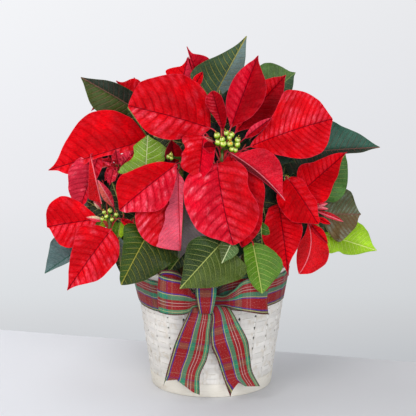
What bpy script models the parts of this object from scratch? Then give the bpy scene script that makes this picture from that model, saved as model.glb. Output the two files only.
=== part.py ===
"""Potted poinsettia in a whitewashed chip-wood basket with a tartan bow.

Sizes below are in millimetres and turn into metres as each mesh is made.
The middle of the basket's underside is the origin, +Z is up and the bow faces -Y.
"""
import math

import bmesh
import bpy
from mathutils import Vector

MM = 0.001

# Chip-wood basket
BASKET_SIDES = 36
BASKET_BASE_RADIUS = 75.0
BASKET_RIM_RADIUS = 97.0
BASKET_HEIGHT = 155.0
BASKET_WALL = 3.0
BASKET_FLOOR = 4.0
HOOP_HEIGHT = 17.0
HOOP_PROUD = 0.6
RIM_HOOP_HEIGHT = 5.0

# Nursery pot inside the basket
POT_SIDES = 24
POT_BASE_RADIUS = 58.0
POT_RIM_RADIUS = 80.0
POT_HEIGHT = 128.0
POT_WALL = 1.6
POT_LIP = 3.0
POT_LIP_HEIGHT = 9.0
DRAIN_RADIUS = 5.0
DRAIN_RING = 36.0
DRAIN_COUNT = 5

# Potting mix
SOIL_TOP = 118.0
SOIL_CROWN = 4.0
HOLE_DEPTH = 45.0
FIT = 0.3

# Ribbon
RIBBON_THICKNESS = 0.7
BAND_BOTTOM = 109.0
BAND_TOP = 148.5
BAND_LEAN = 3.6
KNOT_BOTTOM = 119.0
KNOT_TOP = 141.0
KNOT_ACROSS = -7.0
KNOT_TURN = -4.2
GATHER_REACH = 38.0
GATHER_END = 5.0

# Leaves, bracts and stems
BLADE_THICKNESS = 0.8
STEM_FOOT_RADIUS = 4.2
STEM_TOP_RADIUS = 2.6
STALK_RADIUS = 1.3
STALK_STEPS = (0.0, 0.5)
SHORT_STALK = 24.0
BRACT_SWING = 0.4
LEAF_SWING = 0.12
HUB_RADIUS = 3.4
HUB_BELOW = 8.0
HUB_ABOVE = 8.0

# Point that the front places are sighted from
SIGHT = Vector((-4.4, -2155.8, 661.6))

COLOURS = {
    "chip wood": ((0.78, 0.76, 0.70), 0.75),
    "pot plastic": ((0.05, 0.10, 0.06), 0.45),
    "potting mix": ((0.035, 0.022, 0.014), 0.95),
    "tartan ribbon": ((0.45, 0.03, 0.05), 0.6),
    "red bract": ((0.50, 0.005, 0.012), 0.5),
    "green leaf": ((0.07, 0.13, 0.025), 0.5),
    "flower bud": ((0.45, 0.42, 0.05), 0.5),
}

# Half width of a blade at shares of its length, as a share of its widest
OUTLINES = {
    "bract": ((0.0, 0.06), (0.1, 0.42), (0.25, 0.85), (0.4, 1.0), (0.55, 0.95), (0.7, 0.72),
              (0.85, 0.38), (0.94, 0.15), (1.0, 0.03)),
    "leaf": ((0.0, 0.06), (0.08, 0.5), (0.2, 0.88), (0.33, 1.0), (0.5, 0.93), (0.66, 0.7),
             (0.82, 0.42), (0.93, 0.18), (1.0, 0.03)),
    "narrow": ((0.0, 0.2), (0.2, 0.7), (0.45, 1.0), (0.7, 0.85), (0.9, 0.4), (1.0, 0.06)),
}


def spot(across, up, back):
    """Place sighted at `across` and `up` on the upright plane through the axis, taken at y = back."""
    reading = Vector((across, 0.0, up))
    share = (back - SIGHT.y) / -SIGHT.y
    return SIGHT + (reading - SIGHT) * share


def blade(base, tip, left, right, arch=0.06, fold=0.12, wave=0.05, kind="bract", sweep=0.0,
          face=(0.0, -0.95, 0.3)):
    """One bract or leaf: its two ends, its half widths seen tip up, and how it bows and waves.

    A half width is the widest one, shaped by the outline of its kind, or one for each even step to the tip.
    """
    return {"base": Vector(base), "tip": Vector(tip), "left": left, "right": right, "arch": arch,
            "fold": fold, "wave": wave, "kind": kind, "sweep": sweep, "face": Vector(face)}


def front(base, tip, left, right, **more):
    """A blade whose ends are sighted from the front."""
    return blade(spot(*base), spot(*tip), left, right, **more)


def around(hub, turn, drop, start, length, half, **more):
    """A blade that points away from its hub at `turn` degrees from +X and `drop` degrees down."""
    flat = math.cos(math.radians(drop))
    way = Vector((math.cos(math.radians(turn)) * flat, math.sin(math.radians(turn)) * flat,
                  -math.sin(math.radians(drop))))
    place = Vector(hub)
    face = Vector((way.x * 0.4, way.y * 0.4, 1.0))
    return blade(place + way * start, place + way * (start + length), half, half, face=face, **more)


HUBS = {
    "centre": spot(13, 284, -55),
    "left": spot(-128, 200, -45),
    "right": spot(98, 243, -15),
    "upper_left": spot(-116, 274, 0),
    "middle_left": spot(-38, 275, -42),
    "lower_right": spot(131, 213, -20),
    "top": spot(-22, 368, 28),
    "top_left": spot(-94, 350, 44),
    "back_right": Vector((78.0, 78.0, 292.0)),
    "back_left": Vector((-88.0, 92.0, 268.0)),
    "back": Vector((5.0, 122.0, 286.0)),
}

BRACTS = {
    "centre": [
        front((-2, 324, -47), (-103, 352, -70), (1, 16, 23, 29, 28, 20, 1), (3, 40, 49.5, 51, 46.5, 38, 4),
              arch=0.1, fold=0.1, wave=0.05),
        front((24, 325, -50), (57, 414, -20), (1, 13, 17, 18, 15, 8, 0.6),
              (1, 17, 24, 26, 21, 10, 0.6), fold=0.45),
        front((14, 322, -53), (1, 370, -72), 11, 11, fold=0.2),
        front((30, 319, -42), (91.6, 390.3, 2), 22, 22, fold=0.4),
        front((42, 312, -64), (75, 337, -82), 6, 6, kind="narrow"),
        front((48, 301, -58), (148, 336, -76), (1, 10, 20, 36, 47, 38, 1), (1, 13, 24, 33.5, 37.5, 33, 1),
              arch=0.12, wave=0.05),
        front((22, 293.5, -62), (92, 232.5, -86), (1, 11, 25, 27, 23, 11, 0.6), (1, 4, 7, 5.5, 4, 2, 0.6),
              fold=0.4, sweep=-0.045),
        front((7, 279.5, -70), (27.5, 175.5, -114), (8, 34, 33, 36.5, 40, 32, 2),
              (10, 41, 44.5, 44.5, 41, 31, 2), arch=0.1, wave=0.03, sweep=0.026),
        front((24.4, 291.5, -54), (38.4, 172.5, -96), (3, 19, 33, 34, 29, 24, 1),
              (3, 15, 20, 22, 19, 10, 1)),
        front((-10, 314, -60), (-16, 257, -84), (4, 12, 15, 15.5, 14, 9.5, 1),
              (8, 24, 20.5, 23, 22.5, 14, 1), wave=0.1, fold=0.3),
        front((5, 301, -64), (-10.5, 300, -86), 8, 6, kind="narrow"),
    ],
    "left": [
        front((-142, 209, -48), (-207, 199, -42), (1, 11, 21, 29.5, 28.5, 18, 1),
              (1, 15, 25.5, 32, 33, 29, 2), wave=0.06),
        front((-126, 195, -52), (-182, 117, -80), (1, 24, 29, 28, 23, 12, 0.6),
              (1, 28, 31, 24, 17.5, 9, 0.6), wave=0.05, arch=0.1),
        front((-122.7, 224.8, -36), (-141.9, 258.8, -46), 6, 6, kind="narrow"),
        front((-135.4, 207.2, -52), (-156.4, 211.1, -60), 3.5, 3.5, kind="narrow"),
        front((-138, 222, -37), (-147, 231, -50), 3, 3, kind="narrow"),
        front((-113.3, 209.1, -49), (-90.9, 193.5, -58), 5, 5, kind="narrow"),
    ],
    "right": [
        front((110, 241.3, -20), (168.2, 293.9, -14), (1, 20, 25, 17.5, 13.5, 9, 0.6),
              (14, 27, 26.5, 19.5, 13.5, 4.5, 0.6), wave=0.04),
        front((95.5, 260.5, -33), (133.5, 202.5, -50), (4, 13.5, 13.5, 12.5, 12.5, 7, 1),
              (9, 25, 28.5, 29.5, 26, 16, 1), arch=0.1, wave=0.08),
        front((84, 227.7, -24), (97, 136, -62), (1, 14.5, 23.5, 22.5, 14.5, 4.5, 0.6),
              (3, 18, 24, 25.5, 18.5, 7.5, 0.6), arch=0.1),
        around((94, -14, 244), 70, 12, 14, 56, 18, arch=0.1),
    ],
    "upper_left": [
        front((-79, 310, -2), (-203, 271, -12), (2, 8.5, 6.5, 4, 8, 12.5, 0.6),
              (1, 40, 50.5, 49.8, 38, 18, 0.6), arch=0.08, wave=0.04, sweep=-0.01),
        front((-139, 293, -6), (-164, 224, -32), (2, 8, 9, 8, 6, 5, 1),
              (2, 17, 25, 27, 23.5, 19, 1), fold=0.3),
        front((-149.8, 286.4, -22), (-137.3, 228.1, -40), (1, 1, 1, 0.8), (1, 6.5, 13, 1)),
        front((-112, 276, -10), (-93, 297, -18), 9, 9, wave=0.2, kind="narrow"),
        front((-118, 274, -10), (-133, 258, -26), 8, 8, wave=0.2, kind="narrow"),
        front((-112, 274, -10), (-98, 258, -15), 8, 8, wave=0.2, kind="narrow"),
        around((-116, 0, 270), 150, 12, 14, 62, 20, arch=0.1),
    ],
    "middle_left": [
        front((-44, 278.2, -60), (-115, 220.4, -88), (2, 16, 25.5, 31.5, 28, 17, 1),
              (2, 14, 21, 25, 29.5, 25, 1), arch=0.1, wave=0.05),
        front((-44.2, 268.5, -50), (-39.2, 168.4, -84), (1, 8.5, 7, 6, 4.5, 2.5, 0.6),
              (1, 20, 35, 50, 51, 44, 1), arch=0.09, wave=0.04),
        front((-41.8, 267.6, -57), (-39.2, 168.4, -92), (1, 6.5, 5.5, 4.5, 3.5, 2, 0.6),
              (1, 8, 13, 16, 18, 25.5, 2), arch=0.09, wave=0.08),
        front((-45, 280, -35), (-50, 310, -42), 11, 11, fold=0.3),
    ],
    "lower_right": [
        front((121.5, 203.2, -26), (110.5, 138.2, -52), (8, 18, 19.5, 23, 24, 19, 2),
              (1, 6, 11.5, 15, 14.5, 9.5, 1), sweep=-0.12),
        front((124, 202, -30), (146, 177.4, -45), 6.5, 3, kind="narrow"),
        front((132.5, 218.6, -28), (165.1, 205.5, -35), 4, 2.5, kind="narrow"),
        front((131, 211, -31), (149.5, 202.6, -40), 3.5, 4, kind="narrow"),
    ],
    "top": [
        front((-38, 370, 24), (-29.4, 412.1, 30), (5, 15, 20.5, 23, 10.5, 2.2, 0.6), (2, 6, 8, 7, 5, 3, 0.6)),
        front((-10, 368, 38), (-30.3, 425.2, 46), (2, 3, 4, 3.5, 2.5, 1.2, 0.6),
              (2, 12, 18, 21, 18.5, 4, 0.6)),
        front((-22, 375, 16), (-11, 394, 12), 6, 6, kind="narrow"),
        front((10, 382, 36), (19, 417, 42), 5, 5, kind="narrow"),
        around((-22, 28, 375), 40, 14, 14, 62, 20, arch=0.1),
        around((-22, 28, 375), 95, 20, 14, 66, 21, arch=0.1),
        around((-22, 28, 375), 160, 12, 14, 50, 15, arch=0.1),
    ],
    "top_left": [
        front((-90, 356, 33), (-117.6, 383, 38), (2, 3, 4, 3.5, 3, 2, 0.6), (2, 14, 19.5, 20, 15.5, 4, 0.6)),
        front((-82, 353, 55), (-95.7, 387.3, 58), 7, 9),
        around((-94, 44, 354), 150, 16, 12, 60, 19, arch=0.1),
        around((-94, 44, 354), 95, 20, 12, 58, 18, arch=0.1),
        around((-94, 44, 354), 205, 20, 12, 46, 14, arch=0.1),
    ],
    "back_right": [
        around((78, 78, 292), 30, 12, 12, 78, 24, arch=0.1),
        around((78, 78, 292), 80, 22, 12, 74, 23, arch=0.1),
        around((78, 78, 292), 340, 16, 12, 70, 21, arch=0.1),
        around((78, 78, 292), 125, 30, 12, 52, 17, arch=0.1),
    ],
    "back_left": [
        around((-88, 92, 268), 150, 14, 12, 76, 24, arch=0.1),
        around((-88, 92, 268), 100, 22, 12, 72, 22, arch=0.1),
        around((-88, 92, 268), 200, 18, 12, 66, 20, arch=0.1),
        around((-88, 92, 268), 55, 30, 12, 46, 15, arch=0.1),
    ],
    "back": [
        around((5, 122, 286), 60, 24, 12, 66, 20, arch=0.1),
        around((5, 122, 286), 95, 10, 12, 70, 22, arch=0.1),
        around((5, 122, 286), 135, 26, 12, 64, 20, arch=0.1),
        around((5, 122, 286), 180, 20, 12, 42, 13, arch=0.1),
        around((5, 122, 286), 10, 16, 12, 44, 13, arch=0.1),
    ],
}

# Flower buds of each bloom, as offsets (x, y, z) from its hub to the middle of each bud
BUDS = {
    "centre": [(-4, -17, 18), (2, -19, 17), (9, -19, 16), (15, -18, 18), (-5, -16, 25), (1, -18, 24),
               (8, -19, 23), (14, -18, 25), (20, -16, 24), (4, -15, 31), (11, -16, 31), (17, -15, 31)],
    "left": [(-7, -14, 12), (-1, -16, 12), (6, -15, 13), (-4, -13, 19), (3, -14, 19), (9, -12, 18)],
    "right": [(-6, -5, 16), (-1, -6, 18), (-4, -1, 18)],
    "middle_left": [(-15, -9, 13), (-11, -12, 12), (-12, -6, 16)],
}
USUAL_BUDS = [(-2.3, -1.7, 15.5), (2.5, -1.5, 16), (0, 2.5, 16.5)]
BUD_RADIUS = {"centre": 3.3, "left": 3.0}
USUAL_BUD_RADIUS = 2.6

# Where the bud stalks of a bloom part from each other, as an offset from its hub
FORKS = {"centre": (4, -13, 16), "left": (0, -10, 13), "middle_left": (-6, -4, 12), "right": (-1, -2, 12)}
USUAL_FORK = (0, 0, 15)

# Where each stem leaves the potting mix (x, y)
FEET = {
    "centre": (10, -18),
    "left": (-48, -14),
    "right": (46, -2),
    "upper_left": (-44, 16),
    "middle_left": (-22, -34),
    "lower_right": (50, -32),
    "top": (-2, 18),
    "top_left": (-16, 40),
    "back_right": (38, 34),
    "back_left": (-36, 50),
    "back": (8, 58),
}

# Green leaves of each stem: share of the way up the stem that the stalk grows from, then the blade
LEAVES = {
    "centre": [
        (0.5, front((13, 179, -100), (-40, 119, -134), (20, 46, 44, 37, 27, 15, 1),
                    (3, 23, 28, 25, 17, 8, 1), fold=0.08)),
        (0.4, front((26, 180, -104), (13, 152, -122), 12, 12, kind="leaf")),
        (0.4, front((52, 178, -92), (64, 113, -128), (2, 19, 25.5, 29, 26, 16, 1),
                    (2, 12.5, 14, 14, 12.5, 9.5, 1))),
        (0.75, front((-4, 268, -24), (-22, 200, -26), 22, 24, kind="leaf")),
        (0.85, front((-10, 298, -22), (-72, 314, -18), 20, 20, kind="leaf")),
        (0.7, front((26, 268, -28), (30, 336, -14), 25, 25, kind="leaf")),
        (0.5, front((46, 212, -34), (58, 162, -38), 13, 13, kind="leaf")),
    ],
    "left": [
        (0.75, front((-158, 176, -28), (-210, 139, -28), (2, 6, 6.5, 6, 4.5, 2.5, 0.6),
                     (2, 19, 27.5, 27.5, 19.5, 10.5, 0.6))),
        (0.7, front((-77, 195, -64), (-114, 124, -94), (6, 44, 44, 37.5, 29, 20, 1),
                    (8, 29, 23.5, 18, 13, 8, 1), arch=0.1)),
        (0.8, front((-112, 205, -22), (-156, 232, -16), 16, 16, kind="leaf")),
        (0.85, front((-110, 214, -26), (-124, 256, -18), 13, 13, kind="leaf")),
        (0.6, front((-98, 208, -30), (-114, 160, -34), 13, 13, kind="leaf")),
    ],
    "right": [
        (0.6, front((134.5, 236.8, -8), (166, 292.2, -4), (3, 15, 20, 18, 13, 6.5, 0.6),
                    (4, 23, 24, 22, 16.5, 10, 0.6), arch=0.02, fold=0.03)),
        (0.6, front((60, 240, -8), (76, 178, -16), 20, 20, kind="leaf")),
        (0.75, front((66, 256, 14), (126, 276, 18), 22, 22, kind="leaf")),
        (0.65, front((82, 240, 6), (102, 184, 2), 20, 20, kind="leaf")),
        (0.4, around((85, 5, 200), 35, 8, 20, 66, 21, kind="leaf")),
    ],
    "upper_left": [
        (0.7, front((-82, 265, -22), (-79, 315, -28), (22, 31, 23.5, 16, 16.5, 11.5, 1),
                    (8, 18, 20, 23, 24, 16.5, 1))),
        (0.45, around((-84, 14, 205), 165, 10, 20, 70, 22, kind="leaf")),
    ],
    "middle_left": [
        (0.75, front((-31, 243, -46), (-41, 157, -74), (2, 10.5, 18, 26.5, 31.5, 14, 1),
                     (2, 8, 9, 8, 6, 3.5, 0.6))),
        (0.7, front((-58, 240, -6), (-122, 192, -6), 24, 24, kind="leaf")),
        (0.5, front((-52, 218, -24), (-70, 158, -44), 20, 20, kind="leaf")),
        (0.8, front((-34, 252, -16), (-24, 306, -12), 13, 13, kind="leaf")),
    ],
    "lower_right": [
        (0.8, front((134, 215.2, 0), (186.8, 215, 0), (4, 19, 27, 32.5, 32, 18, 1),
                    (4, 18.5, 30, 35, 27.5, 18.5, 1), arch=0.03, fold=0.04)),
        (0.75, front((140, 190, 8), (207.6, 168.6, 6), (4, 19, 25, 26, 23, 12, 0.6),
                     (4, 20.5, 16, 16.5, 13, 6, 0.6), arch=0.03)),
    ],
    "top": [
        (0.88, front((1, 359, 18), (43, 438.5, 30), (2, 37.5, 34.5, 24.5, 14, 5.5, 0.6),
                     (2, 14.5, 18, 18, 14, 7.5, 0.6))),
        (0.8, front((50, 346, 34), (103.2, 393.2, 46), (2, 16, 27, 34, 34.5, 24, 0.6),
                    (2, 11, 17, 19, 17.5, 10, 0.6))),
        (0.7, front((4, 312, 4), (10, 372, 8), 22, 22, kind="leaf")),
        (0.55, around((-8, 26, 268), 70, 6, 26, 60, 20, kind="leaf")),
    ],
    "top_left": [
        (0.9, front((-76, 337, 26), (-161, 387.3, 22), (2, 13.5, 21, 26, 25.5, 15.5, 0.6),
                    (2, 12.5, 16, 16, 13.5, 7, 0.6))),
        (0.75, front((-68, 296, 14), (-104, 350, 12), 20, 20, kind="leaf")),
        (0.55, around((-40, 44, 250), 110, 10, 26, 60, 20, kind="leaf")),
    ],
    "back_right": [
        (0.7, front((88, 291, 13), (209, 300, 17), (1, 22, 34, 36.5, 26, 14.5, 0.6),
                    (4, 21.5, 12, 7, 6, 5, 0.6))),
        (0.75, around((66, 66, 240), 20, 10, 34, 66, 22, kind="leaf")),
        (0.6, around((60, 60, 215), 70, 22, 34, 62, 21, kind="leaf")),
        (0.45, around((54, 50, 190), 35, 12, 30, 60, 20, kind="leaf")),
    ],
    "back_left": [
        (0.75, around((-72, 88, 225), 165, 10, 34, 66, 22, kind="leaf")),
        (0.6, around((-66, 84, 205), 95, 26, 30, 62, 21, kind="leaf")),
        (0.4, around((-54, 62, 190), 130, 12, 28, 62, 21, kind="leaf")),
    ],
    "back": [
        (0.7, around((5, 104, 235), 75, 24, 34, 60, 20, kind="leaf")),
        (0.4, around((10, 72, 205), 45, 12, 26, 58, 20, kind="leaf")),
        (0.55, around((5, 96, 215), 130, 30, 34, 58, 19, kind="leaf")),
    ],
}


def value_at(knots, share):
    """Value at `share` of a curve given by its (share, value) knots."""
    for (low, start), (high, end) in zip(knots, knots[1:]):
        if share <= high:
            return start + (end - start) * (share - low) / (high - low)
    return knots[-1][1]


def side_reach(widths, kind, share):
    """Half width of one side of a blade at a share of its length."""
    if not isinstance(widths, tuple):
        return widths * value_at(OUTLINES[kind], share)
    place = share * (len(widths) - 1)
    low = min(int(place), len(widths) - 2)
    return widths[low] + (widths[low + 1] - widths[low]) * (place - low)


def widest(widths):
    return max(widths) if isinstance(widths, tuple) else widths


def blade_frame(shape):
    """Length of the blade, then its directions along, across and out of its face."""
    along = shape["tip"] - shape["base"]
    length = along.length
    along.normalize()
    facing = (shape["face"] - along * shape["face"].dot(along)).normalized()
    return length, along, along.cross(facing), facing


def blade_grid(shape, rows, columns):
    """Rows of points across the blade, from its base to its tip."""
    length, along, side, facing = blade_frame(shape)
    grid = []
    for row in range(rows + 1):
        share = row / rows
        bow = 4.0 * share * (1.0 - share) * length
        middle = shape["base"] + along * (length * share) + facing * (shape["arch"] * bow)
        middle += side * (shape["sweep"] * bow)
        line = []
        for column in range(-columns, columns + 1):
            out = column / columns
            reach = side_reach(shape["right"] if out > 0 else shape["left"], shape["kind"], share)
            ripple = math.sin(math.tau * 2.2 * share + (0.0 if out > 0 else 1.9))
            rise = reach * abs(out) * (shape["fold"] + shape["wave"] * abs(out) * ripple * 2.0)
            line.append(middle + side * (reach * out) + facing * rise)
        grid.append(line)
    return grid


def stalk_grid(start, shape, swing, columns):
    """Rows of points across the stalk, which leaves `start` and swings into line with its blade."""
    along, side = blade_frame(shape)[1:3]
    base = shape["base"]
    bend = base - along * (swing * (base - start).length)
    rows = []
    for share in STALK_STEPS if (base - start).length > SHORT_STALK else STALK_STEPS[:1]:
        point = start * (1 - share) ** 2 + bend * (2 * share * (1 - share)) + base * share ** 2
        rows.append([point + side * (STALK_RADIUS * column / columns)
                     for column in range(-columns, columns + 1)])
    return rows


def grid_normal(grid, row, column):
    """Direction square to the sheet at one of its points."""
    last_row = len(grid) - 1
    last_column = len(grid[0]) - 1
    down = grid[min(row + 1, last_row)][column] - grid[max(row - 1, 0)][column]
    across = grid[row][min(column + 1, last_column)] - grid[row][max(column - 1, 0)]
    return across.cross(down).normalized()


def add_sheet(mesh, grid, thicknesses):
    """A closed sheet through the points of the grid, all in triangles, with a thickness for each row."""
    layers = []
    for side in (0.5, -0.5):
        layer = []
        for row, line in enumerate(grid):
            offset = side * thicknesses[row]
            layer.append([mesh.verts.new(point + grid_normal(grid, row, column) * offset)
                          for column, point in enumerate(line)])
        layers.append(layer)
    top, under = layers
    for row in range(len(grid) - 1):
        for column in range(len(grid[0]) - 1):
            for layer, turned in ((top, False), (under, True)):
                a = layer[row][column]
                b = layer[row][column + 1]
                c = layer[row + 1][column + 1]
                d = layer[row + 1][column]
                add_triangle(mesh, (a, b, c), turned)
                add_triangle(mesh, (a, c, d), turned)
    rim_top = edge_loop(top)
    rim_under = edge_loop(under)
    count = len(rim_top)
    for place in range(count):
        following = (place + 1) % count
        add_triangle(mesh, (rim_top[place], rim_under[place], rim_under[following]), False)
        add_triangle(mesh, (rim_top[place], rim_under[following], rim_top[following]), False)


def add_triangle(mesh, corners, turned):
    mesh.faces.new(tuple(reversed(corners)) if turned else corners)


def edge_loop(layer):
    """Points round the edge of a layer of the sheet, in order."""
    loop = list(layer[0])
    loop += [line[-1] for line in layer[1:]]
    loop += list(reversed(layer[-1]))[1:]
    loop += [line[0] for line in reversed(layer[1:-1])]
    return loop


def add_tube(mesh, path, radii, sides):
    """A closed round rod along the path."""
    rings = []
    for place, point in enumerate(path):
        before = path[max(place - 1, 0)]
        after = path[min(place + 1, len(path) - 1)]
        way = (after - before).normalized()
        guide = Vector((0.0, 1.0, 0.0)) if abs(way.y) < 0.8 else Vector((1.0, 0.0, 0.0))
        first = way.cross(guide).normalized()
        second = way.cross(first)
        ring = []
        for corner in range(sides):
            angle = math.tau * corner / sides
            offset = first * math.cos(angle) + second * math.sin(angle)
            ring.append(mesh.verts.new(point + offset * radii[place]))
        rings.append(ring)
    for ring, following in zip(rings, rings[1:]):
        for corner in range(sides):
            beside = (corner + 1) % sides
            mesh.faces.new((ring[corner], ring[beside], following[beside], following[corner]))
    mesh.faces.new(list(reversed(rings[0])))
    mesh.faces.new(rings[-1])


def add_bud(mesh, centre, radius, height):
    """A small egg-shaped bud."""
    sides = 5
    rings = []
    for level in (-0.55, 0.25):
        wide = radius * math.sqrt(1.0 - level * level)
        rings.append([mesh.verts.new(centre + Vector((wide * math.cos(math.tau * corner / sides),
                                                      wide * math.sin(math.tau * corner / sides),
                                                      height * level)))
                      for corner in range(sides)])
    foot = mesh.verts.new(centre - Vector((0.0, 0.0, height)))
    crown = mesh.verts.new(centre + Vector((0.0, 0.0, height)))
    for corner in range(sides):
        beside = (corner + 1) % sides
        mesh.faces.new((foot, rings[0][beside], rings[0][corner]))
        mesh.faces.new((rings[0][corner], rings[0][beside], rings[1][beside], rings[1][corner]))
        mesh.faces.new((rings[1][corner], rings[1][beside], crown))


def add_turned(mesh, profile, sides):
    """A body turned round the Z axis from a closed (radius, height) profile."""
    rings = []
    for radius, height in profile:
        if radius == 0.0:
            rings.append([mesh.verts.new((0.0, 0.0, height))] * sides)
            continue
        rings.append([mesh.verts.new((radius * math.cos(math.tau * corner / sides),
                                      radius * math.sin(math.tau * corner / sides), height))
                      for corner in range(sides)])
    for place in range(len(rings)):
        ring = rings[place]
        following = rings[(place + 1) % len(rings)]
        for corner in range(sides):
            beside = (corner + 1) % sides
            corners = []
            for vertex in (ring[corner], ring[beside], following[beside], following[corner]):
                if vertex not in corners:
                    corners.append(vertex)
            if len(corners) > 2:
                mesh.faces.new(corners)


def make_object(name, builder, colour):
    """A mesh object in metres, with the material of its colour name."""
    mesh = bmesh.new()
    builder(mesh)
    bmesh.ops.recalc_face_normals(mesh, faces=mesh.faces)
    for vertex in mesh.verts:
        vertex.co *= MM
    data = bpy.data.meshes.new(name)
    mesh.to_mesh(data)
    mesh.free()
    made = bpy.data.objects.new(name, data)
    bpy.context.scene.collection.objects.link(made)
    made.data.materials.append(make_material(name, colour))
    return made


def make_material(name, colour):
    shade, roughness = COLOURS[colour]
    material = bpy.data.materials.new(name + " " + colour)
    material.use_nodes = True
    principled = material.node_tree.nodes["Principled BSDF"]
    principled.inputs["Base Color"].default_value = (*shade, 1.0)
    principled.inputs["Roughness"].default_value = roughness
    principled.inputs["Metallic"].default_value = 0.0
    return material


def combine(body, others, operation):
    """Join the others onto the body, or cut them from it, in one step."""
    group = bpy.data.collections.new(body.name + " tools")
    for other in others:
        group.objects.link(other)
    step = body.modifiers.new("combine", "BOOLEAN")
    step.operation = operation
    step.operand_type = "COLLECTION"
    step.collection = group
    step.solver = "MANIFOLD"
    bpy.context.view_layer.update()
    solid = body.evaluated_get(bpy.context.evaluated_depsgraph_get())
    joined = bpy.data.meshes.new_from_object(solid)
    body.modifiers.clear()
    former = body.data
    body.data = joined
    joined.name = body.name
    bpy.data.meshes.remove(former)
    for other in others:
        spent = other.data
        bpy.data.objects.remove(other)
        bpy.data.meshes.remove(spent)
    bpy.data.collections.remove(group)
    return body


def fused(name, builders, colour):
    """One solid made of several closed pieces that run into each other."""
    pieces = [make_object(name if place == 0 else name + " bit", builder, colour)
              for place, builder in enumerate(builders)]
    for piece in pieces[1:]:
        piece.data.materials.clear()
    if len(pieces) == 1:
        return pieces[0]
    return combine(pieces[0], pieces[1:], "UNION")


def blade_steps(shape):
    """How finely a blade is divided: more for the broad ones."""
    wide = widest(shape["left"]) + widest(shape["right"])
    if wide > 49:
        return 6, 2
    if wide > 23:
        return 4, 1
    return 3, 1


def blade_builder(start, shape, swing):
    """A blade with the stalk that carries it from `start`."""
    rows, columns = blade_steps(shape)
    stalk = stalk_grid(start, shape, swing, columns)
    grid = stalk + blade_grid(shape, rows, columns)
    thicknesses = [2.0 * STALK_RADIUS] * len(stalk) + [1.6 * STALK_RADIUS] + [BLADE_THICKNESS] * rows
    return lambda mesh: add_sheet(mesh, grid, thicknesses)


def stalk_start(hub, shape):
    """Where a bract's stalk grows from, just inside the skin of the hub."""
    way = shape["base"] - hub
    way.z = 0.0
    way.normalize()
    return hub + way * (HUB_RADIUS - 1.2) - Vector((0.0, 0.0, 3.0))


def make_bracts(bloom):
    hub = HUBS[bloom]
    up = Vector((0.0, 0.0, 1.0))
    path = [hub - up * HUB_BELOW, hub + up * HUB_ABOVE]
    builders = [lambda mesh: add_tube(mesh, path, [HUB_RADIUS, HUB_RADIUS], 6)]
    for shape in BRACTS[bloom]:
        builders.append(blade_builder(stalk_start(hub, shape), shape, BRACT_SWING))
    return fused("bracts_" + bloom, builders, "red bract")


def make_buds(bloom):
    """Flower buds on short stalks that part just above the hub."""
    hub = HUBS[bloom]
    radius = BUD_RADIUS.get(bloom, USUAL_BUD_RADIUS)
    foot = hub + Vector((0.0, 0.0, HUB_ABOVE + FIT))
    collar = foot + Vector((0.0, 0.0, 1.6))
    fork = hub + Vector(FORKS.get(bloom, USUAL_FORK))
    builders = [lambda mesh: add_tube(mesh, [foot, collar, fork], [2.0, 1.7, 1.6], 5)]
    for offset in BUDS.get(bloom, USUAL_BUDS):
        centre = hub + Vector(offset)
        start = fork - (centre - fork).normalized() * 0.4
        if (centre - fork).length > 1.6 * radius:
            builders.append(lambda mesh, start=start, centre=centre: add_tube(
                mesh, [start, centre], [0.7, 0.7], 3))
        builders.append(lambda mesh, centre=centre: add_bud(mesh, centre, radius, radius * 1.25))
    return fused("flowers_" + bloom, builders, "flower bud")


def stem_path(bloom):
    """Way of a stem from the bottom of its hole in the mix to just under the hub."""
    x, y = FEET[bloom]
    foot = Vector((x, y, SOIL_TOP - HOLE_DEPTH + 2 * FIT))
    neck = Vector((x, y, SOIL_TOP + 8.0))
    head = HUBS[bloom] - Vector((0.0, 0.0, HUB_BELOW + FIT))
    bend = head - Vector((0.0, 0.0, 16.0))
    path = [foot, neck]
    for share in (0.25, 0.5, 0.75):
        point = neck.lerp(bend, share)
        outward = share ** 1.5
        point.x = neck.x + (bend.x - neck.x) * outward
        point.y = neck.y + (bend.y - neck.y) * outward
        path.append(point)
    return path + [bend, head]


def point_on(path, share):
    """Point at a share of the height of a stem, above the mix."""
    climb = path[1:]
    place = share * (len(climb) - 1)
    low = min(int(place), len(climb) - 2)
    return climb[low].lerp(climb[low + 1], place - low)


def make_stem(bloom):
    path = stem_path(bloom)
    count = len(path) - 1
    radii = [STEM_FOOT_RADIUS + (STEM_TOP_RADIUS - STEM_FOOT_RADIUS) * place / count
             for place in range(count + 1)]
    radii[1] = radii[0]
    builders = [lambda mesh: add_tube(mesh, path, radii, 6)]
    for share, shape in LEAVES[bloom]:
        builders.append(blade_builder(point_on(path, share), shape, LEAF_SWING))
    return fused("stem_and_leaves_" + bloom, builders, "green leaf")


def basket_radius(height):
    """Outer radius of the chip wall at a height."""
    return BASKET_BASE_RADIUS + (BASKET_RIM_RADIUS - BASKET_BASE_RADIUS) * height / BASKET_HEIGHT


def make_basket():
    rim_foot = BASKET_HEIGHT - RIM_HOOP_HEIGHT
    inner_floor = basket_radius(BASKET_FLOOR) - BASKET_WALL
    profile = [
        (0.0, 0.0),
        (BASKET_BASE_RADIUS + HOOP_PROUD, 0.0),
        (basket_radius(HOOP_HEIGHT) + HOOP_PROUD, HOOP_HEIGHT),
        (basket_radius(HOOP_HEIGHT), HOOP_HEIGHT),
        (basket_radius(rim_foot), rim_foot),
        (basket_radius(rim_foot) + HOOP_PROUD, rim_foot),
        (BASKET_RIM_RADIUS + HOOP_PROUD, BASKET_HEIGHT),
        (BASKET_RIM_RADIUS - BASKET_WALL, BASKET_HEIGHT),
        (inner_floor, BASKET_FLOOR),
        (0.0, BASKET_FLOOR),
    ]
    return make_object("basket", lambda mesh: add_turned(mesh, profile, BASKET_SIDES), "chip wood")


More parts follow.
